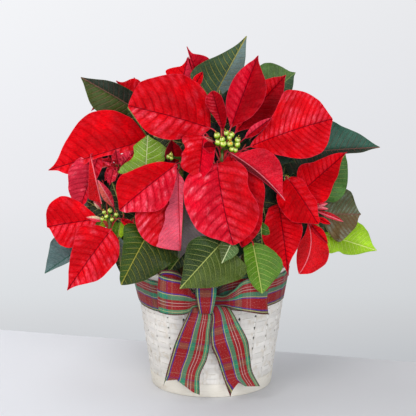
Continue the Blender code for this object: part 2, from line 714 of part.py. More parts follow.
def pot_radius(height):
    """Outer radius of the nursery pot's wall at a height above its foot."""
    return POT_BASE_RADIUS + (POT_RIM_RADIUS - POT_BASE_RADIUS) * height / POT_HEIGHT


def make_pot():
    foot = BASKET_FLOOR + FIT
    lip_foot = POT_HEIGHT - POT_LIP_HEIGHT
    inner_floor = foot + POT_WALL
    profile = [
        (0.0, foot),
        (POT_BASE_RADIUS, foot),
        (pot_radius(lip_foot), foot + lip_foot),
        (pot_radius(lip_foot) + POT_LIP, foot + lip_foot),
        (POT_RIM_RADIUS + POT_LIP, foot + POT_HEIGHT),
        (POT_RIM_RADIUS - POT_WALL, foot + POT_HEIGHT),
        (POT_BASE_RADIUS - POT_WALL, inner_floor),
        (0.0, inner_floor),
    ]
    pot = make_object("grow_pot", lambda mesh: add_turned(mesh, profile, POT_SIDES), "pot plastic")
    cutters = []
    for place in range(DRAIN_COUNT):
        angle = math.tau * place / DRAIN_COUNT
        x = DRAIN_RING * math.cos(angle)
        y = DRAIN_RING * math.sin(angle)
        path = [Vector((x, y, foot - 2.0)), Vector((x, y, inner_floor + 2.0))]
        cutters.append(make_object("drain cutter", lambda mesh, path=path: add_tube(
            mesh, path, [DRAIN_RADIUS, DRAIN_RADIUS], 8), "pot plastic"))
    return combine(pot, hidden_cutters(cutters), "DIFFERENCE")


def hidden_cutters(cutters):
    for cutter in cutters:
        cutter.hide_render = True
        cutter.display_type = "WIRE"
        cutter.data.materials.clear()
    return cutters


def make_soil():
    floor = BASKET_FLOOR + FIT + POT_WALL + FIT
    clearance = POT_WALL + 2 * FIT

    def inside(height):
        return pot_radius(height - BASKET_FLOOR - FIT) - clearance

    profile = [
        (0.0, floor),
        (inside(floor), floor),
        (inside(SOIL_TOP - 4.0), SOIL_TOP - 4.0),
        (inside(SOIL_TOP) - 12.0, SOIL_TOP),
        (34.0, SOIL_TOP + SOIL_CROWN * 0.7),
        (0.0, SOIL_TOP + SOIL_CROWN),
    ]
    soil = make_object("potting_mix", lambda mesh: add_turned(mesh, profile, POT_SIDES), "potting mix")
    cutters = []
    for x, y in FEET.values():
        path = [Vector((x, y, SOIL_TOP - HOLE_DEPTH)), Vector((x, y, SOIL_TOP + 20.0))]
        radius = STEM_FOOT_RADIUS + 2 * FIT
        cutters.append(make_object("stem hole cutter", lambda mesh, path=path, radius=radius: add_tube(
            mesh, path, [radius, radius], 8), "potting mix"))
    return combine(soil, hidden_cutters(cutters), "DIFFERENCE")


def band_edges(angle):
    """Heights of the band's two edges: it is drawn together toward the knot at the front."""
    aside = abs(math.degrees(math.atan2(math.cos(angle), -math.sin(angle))) - KNOT_TURN)
    drawn = min(max((GATHER_REACH - aside) / (GATHER_REACH - GATHER_END), 0.0), 1.0)
    bottom = BAND_BOTTOM + BAND_LEAN * math.cos(angle)
    return bottom + (KNOT_BOTTOM - bottom) * drawn, BAND_TOP + (KNOT_TOP - BAND_TOP) * drawn


def make_band():
    """The ribbon that runs round the basket."""

    def build(mesh):
        rings = []
        for corner in range(BASKET_SIDES):
            angle = math.tau * corner / BASKET_SIDES
            low, high = band_edges(angle)
            section = [(low, 0.0), (low, RIBBON_THICKNESS), (high, RIBBON_THICKNESS), (high, 0.0)]
            rings.append([mesh.verts.new(((basket_radius(height) + FIT + out) * math.cos(angle),
                                          (basket_radius(height) + FIT + out) * math.sin(angle), height))
                          for height, out in section])
        for place, ring in enumerate(rings):
            following = rings[(place + 1) % len(rings)]
            for corner in range(4):
                beside = (corner + 1) % 4
                add_triangle(mesh, (ring[corner], ring[beside], following[beside]), False)
                add_triangle(mesh, (ring[corner], following[beside], following[corner]), False)

    return make_object("ribbon_band", build, "tartan ribbon")


# Bow loops in plan: (x, y) along the ribbon, then the heights of its two edges
LEFT_LOOP = (
    (-8.0, -101.2, 123, 138), (-21, -101.4, 121, 140), (-27, -106, 116, 150), (-36, -113, 115, 158),
    (-48, -114, 115, 161), (-59, -110, 116, 163), (-64, -104.5, 117, 165), (-60, -100.5, 118, 167),
    (-48, -99.9, 118, 167), (-36, -99.7, 117, 162), (-27, -99.5, 118, 151), (-21, -99.3, 122, 140),
    (-8.0, -99.3, 124, 137),
)
RIGHT_LOOP = (
    (-6.0, -101.2, 123, 138), (5, -101.4, 123, 137), (14, -106, 125, 137), (26, -112, 123, 146),
    (38, -114.5, 120, 158), (50, -115, 118, 162), (62, -110, 115, 163), (68, -104, 114, 163),
    (64, -100.5, 115, 164), (50, -99.9, 117, 164), (32, -99.7, 119, 162), (16, -99.5, 121, 155),
    (5, -99.3, 123, 144), (-6.0, -99.3, 124, 137),
)

# Knot seen from the side: (y, height) round the inside of the wrap, then its half width
KNOT = (
    (-98.6, 118, 9), (-98.4, 130, 11), (-98.6, 143, 13), (-100.5, 147.5, 13), (-103.4, 141, 13),
    (-104.4, 130, 11.5), (-103.2, 119, 9), (-100.6, 113.5, 8),
)

# Ribbon tails: each row gives its left and right edge as sighted from the front, and its y
LEFT_TAIL = (
    ((-20, 110), (-5, 108), -96.6), ((-28, 90), (0, 84), -97.0), ((-38, 68), (-1.8, 62), -101.5),
    ((-47, 46), (-2.4, 45), -98.5), ((-52, 29), (-6, 26), -94.5), ((-57, 11), (-14, 8), -97.0),
    ((-62, -12), (-15, -20), -99.5),
)
RIGHT_TAIL = (
    ((-9, 110), (8, 110), -95.6), ((1, 84), (22, 96), -95.6), ((-0.8, 62), (35, 74), -98.0),
    ((-0.2, 46), (46, 52), -101.5), ((7, 27), (49, 32), -97.0), ((14, 5), (52, 11), -94.5),
    ((24, -23), (62, -9), -98.5),
)
LEFT_NOTCH = 12.0
RIGHT_NOTCH = 10.0


def make_loop(name, rows):
    grid = []
    for x, y, low, high in rows:
        grid.append([Vector((x, y, low)), Vector((x, y - 0.8, (low + high) * 0.5)), Vector((x, y, high))])
    thicknesses = [RIBBON_THICKNESS] * len(grid)
    return make_object(name, lambda mesh: add_sheet(mesh, grid, thicknesses), "tartan ribbon")


def make_knot():
    """A closed wrap of ribbon round the gathered middle of the bow."""
    grid = []
    for y, height, half in KNOT:
        grid.append([Vector((KNOT_ACROSS - half, y + 0.5, height)), Vector((KNOT_ACROSS, y, height)),
                     Vector((KNOT_ACROSS + half, y + 0.5, height))])

    def build(mesh):
        centre = Vector((KNOT_ACROSS, -100.4, 131.0))
        layers = []
        for offset in (0.0, RIBBON_THICKNESS):
            layer = []
            for line in grid:
                outward = (line[1] - centre)
                outward.x = 0.0
                outward.normalize()
                layer.append([mesh.verts.new(point + outward * offset) for point in line])
            layers.append(layer)
        inner, outer = layers
        count = len(grid)
        for row in range(count):
            after = (row + 1) % count
            for column in range(2):
                for layer, turned in ((outer, False), (inner, True)):
                    a = layer[row][column]
                    b = layer[row][column + 1]
                    c = layer[after][column + 1]
                    d = layer[after][column]
                    add_triangle(mesh, (a, b, c), turned)
                    add_triangle(mesh, (a, c, d), turned)
            for column in (0, 2):
                add_triangle(mesh, (inner[row][column], outer[row][column], outer[after][column]), False)
                add_triangle(mesh, (inner[row][column], outer[after][column], inner[after][column]), False)

    return make_object("bow_knot", build, "tartan ribbon")


def make_tail(name, rows, notch, lean):
    grid = []
    for place, (left, right, depth) in enumerate(rows):
        start = spot(left[0], left[1], depth)
        end = spot(right[0], right[1], depth)
        line = []
        for column in range(5):
            share = column / 4
            point = start.lerp(end, share)
            point.y += lean * math.sin(math.pi * share * 2.0 + place * 0.9) * min(place, 3) / 3
            line.append(point)
        grid.append(line)
    for column, share in ((1, 0.5), (2, 1.0), (3, 0.5)):
        grid[-1][column].z += notch * share
    thicknesses = [RIBBON_THICKNESS] * len(grid)
    return make_object(name, lambda mesh: add_sheet(mesh, grid, thicknesses), "tartan ribbon")


def clear_scene():
    for existing in list(bpy.data.objects):
        bpy.data.objects.remove(existing, do_unlink=True)


def main():
    clear_scene()
    make_basket()
    make_pot()
    make_soil()
    make_band()
    make_loop("bow_loop_left", LEFT_LOOP)
    make_loop("bow_loop_right", RIGHT_LOOP)
    make_knot()
    make_tail("ribbon_tail_left", LEFT_TAIL, LEFT_NOTCH, 1.0)
    make_tail("ribbon_tail_right", RIGHT_TAIL, RIGHT_NOTCH, -1.0)
    for bloom in HUBS:
        make_bracts(bloom)
        make_buds(bloom)
        make_stem(bloom)


main()
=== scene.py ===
import math

import bpy
import numpy as np
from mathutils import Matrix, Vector


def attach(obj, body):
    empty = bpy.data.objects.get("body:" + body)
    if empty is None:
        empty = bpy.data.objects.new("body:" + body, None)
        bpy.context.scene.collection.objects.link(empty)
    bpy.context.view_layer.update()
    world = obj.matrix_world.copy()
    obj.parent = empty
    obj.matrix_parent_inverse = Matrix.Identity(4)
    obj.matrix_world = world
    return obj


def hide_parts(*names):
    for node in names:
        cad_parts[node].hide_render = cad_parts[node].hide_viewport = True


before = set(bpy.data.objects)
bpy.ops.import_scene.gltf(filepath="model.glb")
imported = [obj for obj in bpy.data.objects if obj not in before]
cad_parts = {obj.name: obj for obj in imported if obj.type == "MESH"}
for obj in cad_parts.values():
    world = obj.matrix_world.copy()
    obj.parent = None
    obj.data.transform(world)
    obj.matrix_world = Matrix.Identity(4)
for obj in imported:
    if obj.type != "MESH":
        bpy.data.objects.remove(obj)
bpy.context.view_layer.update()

MM = 0.001
TAU = math.tau
UV_UNIT = 0.01  # flat places count 100 mm as one
WHITE = (1.0, 1.0, 1.0, 1.0)
TABLE_LEVEL = -0.0002

# Point that the front places are sighted from, and the middle of the picture
SIGHT = np.array((-4.4, -2155.8, 661.6))
AIM = np.array((-4.4, 0.0, 223.0))
PICTURE_WIDTH = 520.0
SENSOR_WIDTH = 36.0

# Chip-wood basket
BASKET_BASE_RADIUS = 75.0
BASKET_RIM_RADIUS = 97.0
BASKET_HEIGHT = 155.0
BASKET_FLOOR = (0.4, 3.8)
HOOP_HEIGHT = 17.0
HOOP_PROUD = 0.6
RIM_HOOP_HEIGHT = 5.0
STAKES = 24
STAKE_GAP = 1.5
STEPS_PER_STAKE = 16
WEAVERS = 19
WEAVER_PITCH = (BASKET_HEIGHT - RIM_HOOP_HEIGHT - HOOP_HEIGHT) / WEAVERS
WEAVER_GAP = 0.2
CHIP_THICKNESS = 1.0
WALL_MIDDLE = 1.1
WALL_LEAN = 0.15
WEAVE_DEPTH = 0.5

# Nursery pot and potting mix
POT_BASE_RADIUS = 58.0
POT_RIM_RADIUS = 80.0
POT_HEIGHT = 128.0
POT_WALL = 1.6
POT_FOOT = 4.3
SOIL_TOP = 118.0
SOIL_CROWN = 4.0
SOIL_INSET = 2.6
HOLE_DEPTH = 45.0
LUMPS = 260

# Wired ribbon
RIBBON_WIDTH = 48.0
RIBBON_COLUMNS = 25
THREAD_PITCH = 0.9
PLEAT_WAVES = 3.5
BAND_BOTTOM = 109.0
BAND_TOP = 148.5
BAND_LEAN = 3.6
KNOT_BOTTOM = 119.0
KNOT_TOP = 141.0
GATHER_REACH = 38.0
GATHER_END = 5.0
KNOT_ACROSS = -7.0
KNOT_TURN = math.radians(-4.2)
KNOT_FOLD = 0.53
KNOT_START = 0.62
PLEATS = (196, 208, 219, 232, 247, 262, 281, 298, 312, 327, 338, 350, 15, 40, 75, 110, 150)

# Stems, stalks and blades; stalks have one radius under a small blade and one under a large blade
STEM_FOOT_RADIUS = 4.2
STEM_TOP_RADIUS = 2.6
STALK_TAPER = 0.72
BRACT_STALK_RADII = (0.8, 1.15)
LEAF_STALK_RADII = (0.9, 1.3)
SMALL_HALF_WIDTH = 12.5
HUB_RADIUS = 3.4
HUB_BELOW = 8.0
HUB_ABOVE = 8.0
SEAT_GAP = 0.3
SKIN_THICKNESS = 0.45
RIB_THICKNESS = 1.1
CELL = 1.6  # distance between the points of a blade's mesh
LEAF_VEIN_GAP = 8.0

# Colours of the plant's skins and veins, as sRGB; where a blade's two halves differ, the lighter and darker
# skin partly paint the light and shade on the two sides of its fold
SKINS = {
    "scarlet": "#D4010D",
    "ruby": "#BA020E",
    "crimson": "#A80110",
    "rose": "#CC0420",
    "coral": "#D0243C",
    "blush": "#EC6078",
    "salmon": "#C8604C",
    "maroon": "#64040F",
    "wine": "#5C0210",
    "wine red": "#88020E",
    "pink": "#E8808A",
    "deep": "#1C3612",
    "forest": "#1A300E",
    "apple": "#7CA81C",
    "dark": "#1A2E20",
    "olive": "#3A4C16",
    "grass": "#32600A",
    "meadow": "#234408",
    "bright": "#4E7C08",
    "lime": "#9ACA0C",
    "bronze": "#4E5634",
    "slate": "#647C7C",
    "leek": "#4A7C38",
    "pine": "#2E4C34",
    "moss vein": "#7C9454",
    "night": "#0E1614",
    "teal": "#2A5848",
    "plum": "#857880",
    "sage": "#4A6A34",
    "moss": "#4A7420",
    "whitish vein": "#D2DCA8",
    "cream": "#D8C8A0",
    "straw": "#D8E48A",
    "pale vein": "#B4BC6A",
    "gold vein": "#A8A044",
    "rust vein": "#7A5048",
    "rust": "#6E5A34",
    "ink vein": "#4A0210",
}

# Half width of a blade along its length, read as percent of the length : share of the widest half
OUTLINES = {
    "bract": "0:0.04 6:0.22 15:0.6 28:0.92 42:1 56:0.93 70:0.72 82:0.44 90:0.22 95:0.1 100:0.01",
    "leaf": "0:0.04 6:0.36 14:0.72 25:0.97 36:1 50:0.9 66:0.67 80:0.42 91:0.19 96:0.08 100:0.01",
    "narrow": "0:0.2 20:0.7 45:1 70:0.8 88:0.4 100:0.03",
}

# What a blade is like unless its row says otherwise
USUAL_BLADE = {
    "vein": "wine",
    "kind": "bract",
    "face": np.array((0.0, -0.95, 0.3)),
    "arch": 0.06,  # how far the midrib bows out of the face, as a share of the length
    "sweep": 0.0,  # how far the midrib bows to the side
    "fold": 0.12,  # how steeply the halves rise from the midrib
    "wave": 0.05,  # broad waves of the halves
    "ruffle": 1.0,  # small waves of the edge
    "curl": 0.0,  # droop of the tip
    "quilt": 1.0,  # swelling between the side veins
    "gap": 9.5,  # distance between side veins
    "bend": 1.0,  # how strongly the side veins curve toward the tip
    "pale": 0.05,  # strength of the painted pale highlight on the ridges, for both halves or as a pair, left and right
    "marks": 1.0,  # how strongly the side veins show, given like `pale`
}


def linear(code):
    """Linear light colour, with full cover, of an sRGB hex value."""
    parts = np.array([int(code[place:place + 2], 16) for place in (1, 3, 5)]) / 255.0
    light = np.where(parts <= 0.04045, parts / 12.92, ((parts + 0.055) / 1.055) ** 2.4)
    return np.append(light, 1.0)


SKIN_COLOURS = {name: linear(code) for name, code in SKINS.items()}


def spot(across, up, back):
    """Place sighted at `across` and `up` on the upright plane through the axis, taken at y = back."""
    share = (back - SIGHT[1]) / -SIGHT[1]
    return SIGHT + (np.array((across, 0.0, up)) - SIGHT) * share


def blade(base, tip, left, right, skin="scarlet", **more):
    """One bract or leaf: its ends, its left and right half seen tip up, its skin, and what is unusual on it.

    A half is its greatest width, or its edge read as percent of the length : half width. Two skins are one
    for each half; a lighter skin on one half and a darker on the other partly paint the light and shade on
    the two sides of its fold.
    """
    return {**USUAL_BLADE, **more, "base": base, "tip": tip, "halves": (left, right), "skin": skin.split("/")}


def front(base, tip, *halves_and_skin, **more):
    """A blade whose ends are sighted from the front."""
    return blade(spot(*base), spot(*tip), *halves_and_skin, **more)


def around(hub, start, turn, drop, length, half, skin="scarlet", **more):
    """A blade that points away from its hub at `turn` degrees from +X and `drop` degrees down."""
    turn, drop = math.radians(turn), math.radians(drop)
    way = np.array((math.cos(turn) * math.cos(drop), math.sin(turn) * math.cos(drop), -math.sin(drop)))
    face = np.array((way[0] * 0.4, way[1] * 0.4, 1.0))
    return blade(hub + way * start, hub + way * (start + length), half, half, skin, face=face, **more)


def leaf(share, base, tip, left, right, skin="deep", vein="pale vein", **more):
    """A green leaf sighted from the front, and the share of the way up the stem that its stalk grows from."""
    more = {"gap": LEAF_VEIN_GAP, **more}
    return share, front(base, tip, left, right, skin, vein=vein, kind="leaf", **more)


def rear_leaf(share, hub, turn, drop, start, length, half, skin="deep/dark"):
    """A green leaf that points away from its stem, and the share of the way up that its stalk grows from."""
    return share, around(hub, start, turn, drop, length, half, skin, vein="pale vein", kind="leaf",
                         gap=LEAF_VEIN_GAP)


# Head of each stem, where the bracts of its bloom spring from
HUBS = {
    "centre": spot(13, 284, -55),
    "left": spot(-128, 200, -45),
    "right": spot(98, 243, -15),
    "upper_left": spot(-116, 274, 0),
    "middle_left": spot(-38, 275, -42),
    "lower_right": spot(131, 213, -20),
    "top": spot(-22, 368, 28),
    "top_left": spot(-94, 350, 44),
    "back_right": np.array((78.0, 78.0, 292.0)),
    "back_left": np.array((-88.0, 92.0, 268.0)),
    "back": np.array((5.0, 122.0, 286.0)),
}

# Bracts that show from the front
BRACTS = {
    "centre": [
        front((-2, 324, -47), (-103, 352, -70),
            "0:1 3:5 8:11 14:14.7 30:22 47:28.7 63:28.8 73:26.4 86:17.1 94:8 98:3.9 100:1",
            "0:3 3:13 7:22.5 12:32 18:39.5 28:46.5 38:49.8 50:50.8 60:48.8 71:44.8 81:39.4 89:34.4 95:28 "
            "98:19 100:5", arch=0.1, fold=0.1, gap=11, pale=(0.6, 0.25), marks=(0.9, 1.1)),
        front((24, 325, -50), (57.2, 414.2, -20),
            "0:1 6:5 13:10.8 20:14 30:16.9 50:18.2 67:15.2 75:12 83:8.4 93:2.8 100:0.4",
            "0:1 6:6.8 15:15.9 30:23.2 40:26 47:26.2 58:24.5 68:20.3 78:13.5 86:7.5 94:2.5 100:0.4",
            "rose/crimson", fold=0.45, wave=0.02, gap=8.5, quilt=0.6, pale=(0.3, 0.1), marks=(0.7, 0.35)),
        front((14, 322, -53), (1, 370, -72),
            "0:1 20:3.5 45:7 70:10.5 88:11.5 96:8 100:2",
            "0:1 20:6 45:9.5 70:9.5 88:8 96:5 100:2",
            "crimson", vein="maroon", fold=0.2, gap=4.2, pale=(0.4, 0.1)),
        front((30, 319, -42), (91.6, 390.3, 2), 22, 22, "scarlet/crimson", fold=0.4, gap=7,
            pale=(0.3, 0.1)),
        front((42, 312, -64), (75, 337, -82), 6, 6, "coral/crimson", kind="narrow", gap=6,
            pale=(0.6, 0.1)),
        front((48, 301, -58), (148, 336, -76),
            "0:1 6:5 12:7.7 24:12.7 35:21 45:29.7 52:38.2 58:46 63:48.4 68:47 76:43 84:37.2 90:30 95:20.7 "
            "98:8 100:1",
            "0:1 11:7.8 20:15.9 30:22 40:27.9 48:32.5 56:36.1 70:37.6 83:33 92:20.6 97:8 100:1",
            arch=0.12, curl=0.08, gap=6.5, quilt=1.6, pale=(0.6, 0.3), marks=0.9),
        front((22, 293.5, -62), (92, 232.5, -86),
            "0:1 6:3 14:8 23:18 31:24 40:26.3 50:26.8 63:25 72:20.5 80:13.5 88:5.5 94:1.5 100:0.3",
            "0:1 15:4 30:7 50:5.5 70:3.5 85:2 95:1 100:0.3",
            "rose/maroon", vein="pink", fold=0.4, wave=0.02, gap=8, quilt=0.4, sweep=-0.045, marks=(0.05, 0),
            pale=(0.25, 0)),
        front((7, 279.5, -70), (27.5, 175.5, -114),
            "0:8 2:21 5:26.5 10:31 17:34.5 24:35 33:33 42:33.5 50:36.5 60:40 68:40 76:37.3 84:32 89:28 "
            "95:18 98:10 100:2",
            "0:10 2:26 7:33.8 12:38 18:41.5 26:43.8 33:44.6 46:45 58:43.2 68:40.5 77:36.6 82:32 88:24 94:11 "
            "98:4 100:1",
            "ruby/rose", vein="ink vein", arch=0.1, wave=0.03, gap=11, quilt=1.2, pale=(0.35, 0.85),
            sweep=0.026, marks=(0.7, 1)),
        front((24.4, 291.5, -54), (38.4, 172.5, -96),
            "0:3 6:8 13:15.2 23:24 30:31 39:34.7 50:34 58:31.6 70:28.6 77:27.2 83:24.5 93:14.6 98:6 100:0.5",
            "0:3 10:12 30:20 50:22 70:18 90:6 100:0.5", "ruby", quilt=0.8, gap=10, pale=0.2, marks=0.5),
        front((-10, 314, -60), (-16, 257, -84),
            "0:4 8:8 23:14 40:15.5 60:15 80:11 93:5 100:0.5",
            "0:8 5:19 13:23.8 20:24.8 27:21.5 34:20.3 44:22.9 60:22.8 76:21.9 86:12 95:5 100:0.5",
            "rose/scarlet", wave=0.12, ruffle=3, gap=7, fold=0.3, pale=(0, 0.7), marks=(0.4, 0.6)),
        front((5, 301, -64), (-10.5, 300, -86),
            "0:1 12:3 29:5.6 50:7.8 65:8 82:6 93:3.5 100:0.6",
            "0:0.8 26:3.9 45:5.8 61:6.3 80:5.6 92:4 100:0.6",
            "crimson/wine red", gap=3.5, pale=(0.1, 0.05), marks=0.5),
        front((3, 307, -62), (-9, 313, -72), 2.6, 2.6, "salmon/olive", vein="pink", kind="narrow", gap=3,
            pale=(0.2, 0)),
        front((46, 296, -60), (62, 291, -66), 2.2, 2.2, "salmon/coral", vein="pink", kind="narrow",
            gap=3),
    ],
    "left": [
        front((-142, 209, -48), (-207, 199, -42),
            "0:1 6:6 18:12 32:20 46:28 57:30.7 68:28.5 78:24 86:15 90:9 95:2.5 100:0.5",
            "0:1 6:7 14:13 22:19.2 32:25 42:29.4 52:32.5 63:33.4 74:32 85:28.6 92:24 96:18 99:9 100:1",
            wave=0.06, gap=8.5, curl=0.06, pale=(0.6, 0.2)),
        front((-126, 195, -52), (-182, 117, -80),
            "0:1 4:12.2 10:19 18:24.5 30:29 43:28.7 56:27 68:22.8 79:14.5 88:7 95:2.5 100:0.4",
            "0:1 4:12 9:20.2 17:28.5 26:32.7 33:31 41:27.6 50:24.2 60:20.8 70:16.2 80:11.1 88:6 93:3.1 "
            "100:0.4", arch=0.1, gap=8.5, pale=(0.6, 0.4)),
        front((-122.7, 224.8, -36), (-141.9, 258.8, -46), 6, 6, "salmon/coral", vein="pink",
            kind="narrow", gap=5, pale=(0.5, 0.3)),
        front((-135.4, 207.2, -52), (-156.4, 211.1, -60), 3.5, 3.5, "coral/cream", vein="pink",
            kind="narrow", gap=4),
        front((-138, 222, -37), (-147, 231, -50), 3, 3, "cream/coral", vein="pink", kind="narrow",
            gap=4),
        front((-113.3, 209.1, -49), (-90.9, 193.5, -58), 5, 5, "crimson/scarlet", kind="narrow", gap=4),
    ],
    "right": [
        front((110, 241.3, -20), (168.2, 293.9, -14),
            "0:1 8:11 16:19.2 23:23.5 30:25.2 36:24 47:18.4 56:16 65:13.7 79:10.1 87:7 92:4.4 96:1.5 "
            "100:0.4",
            "0:14 3:18.5 11:24.3 18:27.5 25:28.4 36:25.4 51:19 64:15 73:10 81:5.4 92:1 100:0.4",
            wave=0.04, gap=6.5, pale=(0.2, 0.1)),
        front((95.5, 260.5, -33), (133.5, 202.5, -50),
            "0:4 6:9 14:13.2 22:13.8 32:13.4 47:12.3 57:13.4 65:13 80:8.2 90:5 97:4 100:1",
            "0:9 6:16 17:25 25:27.4 34:28.5 45:29.2 54:29.5 61:28.5 74:23.5 86:12.8 94:6 100:1",
            arch=0.1, gap=8, wave=0.08, pale=(0.25, 0.05), marks=(0.25, 0.8)),
        front((84, 227.7, -24), (97, 136, -62),
            "0:1 8:8 20:17 33:23.5 40:24.2 46:23.3 57:19.5 68:13.6 78:6.8 88:2 95:1 100:0.4",
            "0:3 2:8.7 11:15.5 25:20.7 33:24.2 41:26 48:25.8 55:24.4 63:20.5 71:16.2 84:6.5 91:2.8 100:0.4",
            vein="ink vein", arch=0.1, gap=6, pale=(0.15, 0.3)),
    ],
    "upper_left": [
        front((-79, 310, -2), (-203, 271, -12),
            "0:2 8:8 19:8.5 30:7 40:5 50:4 61:6 72:9.5 82:12.8 87:9 91:4.5 96:2 100:0.4",
            "0:1 4:16 8:28 14:36.3 25:47.2 31:50 37:51.2 48:50.3 55:46.8 61:42.8 71:33 77:26.3 82:19.3 "
            "87:11.5 93:4.5 100:0.4",
            arch=0.08, wave=0.04, gap=11, sweep=-0.01, pale=(0.6, 0.1), marks=(1, 0.7)),
        front((-139, 293, -6), (-164, 224, -32),
            "0:2 15:8 40:9 60:7 75:5.2 91:4.5 97:2 100:0.5",
            "0:2 12:14 30:24 44:27 52:27.1 60:25.5 68:23.2 78:21 86:17 93:12 97:8 100:1",
            "rose/coral", fold=0.3, gap=6, pale=(0.5, 0.9)),
        front((-149.8, 286.4, -22), (-137.3, 228.1, -40),
            "0:0.6 30:0.8 60:0.8 100:0.4",
            "0:1 14:4.2 41:8.3 62:11.5 78:13.6 84:13.7 91:7.3 96:3 100:0.5",
            vein="pink", gap=7, marks=(0, 0.1)),
        front((-112, 276, -10), (-93, 297, -18), 9, 9, "coral/rose", vein="maroon", wave=0.25, ruffle=4,
            gap=3, pale=(1, 0.6)),
        front((-118, 274, -10), (-133, 258, -26), 8, 8, "coral/rose", vein="maroon", wave=0.25, ruffle=4,
            gap=3, pale=(1, 0.6)),
        front((-112, 274, -10), (-98, 258, -15), 8, 8, "rose/coral", vein="maroon", wave=0.25, ruffle=4,
            gap=3, pale=(0.7, 1)),
        front((-122, 272, -16), (-127, 252, -36), 6, 7, "rose/coral", vein="maroon", wave=0.3, ruffle=4,
            gap=3, pale=(1, 0.6)),
        front((-116, 278, -12), (-119, 297, -26), 7, 7, "crimson/coral", vein="maroon", wave=0.3,
            ruffle=4, gap=3, pale=(0.5, 1)),
        front((-124, 281, -14), (-136, 283, -28), 5, 5, "coral/crimson", vein="maroon", wave=0.3,
            ruffle=4, gap=3, pale=(1, 0.4)),
        front((-105, 283, -14), (-88, 281, -28), 5, 5, "rose/crimson", vein="maroon", wave=0.3, ruffle=4,
            gap=3, pale=(0.8, 0.4)),
    ],
    "middle_left": [
        front((-44, 278.2, -60), (-115, 220.4, -88),
            "0:2 5:6.3 11:12 18:16.5 28:23 37:27.6 46:31 54:32.1 63:30 72:25.6 81:19 90:11.7 98:4.9 100:1",
            "0:2 6:6.5 14:12.9 28:19.7 44:24.2 61:27.5 69:30 77:28.5 85:23 91:15 95:8 100:1",
            "rose/scarlet", arch=0.1, pale=(0.95, 0.12), marks=(0.8, 0.3)),
        front((-44.2, 268.5, -50), (-39.2, 168.4, -84),
            "0:1 12:8.9 28:7.6 52:5.9 76:3.2 90:2 100:0.5",
            "0:1 6:8 14:17 24:27 34:36 43:45 51:50.6 60:51.8 69:50.7 76:48 83:43.8 89:37.5 93:32 96:22 "
            "98:11 100:1", "crimson/scarlet", vein="maroon", arch=0.09, wave=0.04, gap=8.5, pale=(0.2, 0.8),
            marks=(0.5, 0.9)),
        front((-41.8, 267.6, -57), (-39.2, 168.4, -92),
            "0:1 11:6.8 27:5.9 51:4.7 76:2.6 90:1.5 100:0.5",
            "0:1 11:2.7 20:10.6 26:8.9 32:12.9 39:11.2 51:16.3 64:17.7 72:21 80:24.9 89:26 96:25.4 98.5:15 "
            "100:2",
            "blush", vein="crimson", arch=0.09, wave=0.08, gap=4.5, ruffle=3, pale=1, marks=(0.2, 0.3)),
        front((-45, 280, -35), (-50, 310, -42), 11, 11, "maroon/crimson", fold=0.3, gap=5),
    ],
    "lower_right": [
        front((121.5, 203.2, -26), (110.5, 138.2, -52),
            "0:8 3:12.5 13:17.3 24:18.5 34:19.7 51:23.2 60:24 67:23.8 75:22.5 81:20 87:17.5 92:15 98:8 "
            "100:1",
            "0:1 12:4.6 23:7.7 33:11.5 41:14.1 56:15.5 66:14.6 75:12.5 84:9.3 95:3.8 100:0.6",
            vein="pink", gap=7, quilt=0.4, sweep=-0.12, marks=0.06, pale=0.1),
        front((124, 202, -30), (146, 177.4, -45), 6.5, 3, "scarlet/crimson", kind="narrow", gap=4),
        front((132.5, 218.6, -28), (165.1, 205.5, -35), 4, 2.5, "crimson/coral", vein="pink",
            kind="narrow", gap=4, pale=(0.1, 1)),
        front((131, 211, -31), (149.5, 202.6, -40), 3.2, 4, kind="narrow", gap=4),
        front((131, 225, -28), (145, 229, -34), 2.4, 2.4, "coral/pink", vein="pink", kind="narrow",
            gap=3),
        front((131, 223, -29), (146, 222, -36), 2.2, 2.2, "pink/coral", vein="pink", kind="narrow",
            gap=3),
    ],
    "top": [
        front((-38, 370, 24), (-29.4, 412.1, 30),
            "0:6 20:16 38:21 50:23 57:19.5 63:14.3 70:6.5 78:3.5 87:1.5 100:0.4",
            "0:3 30:12 50:12 70:7 85:3 100:0.4", "scarlet/coral", gap=7),
        front((-10, 368, 38), (-30.3, 425.2, 46),
            "0:2 30:4 60:3 80:1.5 100:0.4",
            "0:2 20:14 40:19.5 55:21.3 63:20.2 70:16.5 75:12.2 82:4.5 90:1.8 100:0.4",
            "rose", gap=7, pale=(0.2, 0.3)),
        front((-22, 375, 16), (-11, 394, 12), 6, 6, kind="narrow", gap=5),
        front((10, 382, 36), (19, 417, 42), 5, 5, "crimson/rose", kind="narrow", gap=5),
        front((-22, 380, 44), (-28.5, 413, 44), 5, 5, "crimson", gap=5),
    ],
    "top_left": [
        front((-90, 356, 33), (-117.6, 383, 38),
            "0:2 30:4 60:3 85:1.5 100:0.4",
            "0:2 12:11 27:19 45:20.1 58:18.5 69:14.5 78:6.1 87:2.5 100:0.4", gap=6, pale=(0.1, 0.5)),
        front((-82, 353, 55), (-95.7, 387.3, 58), 7, 9, "crimson/rose", gap=6),
    ],
}

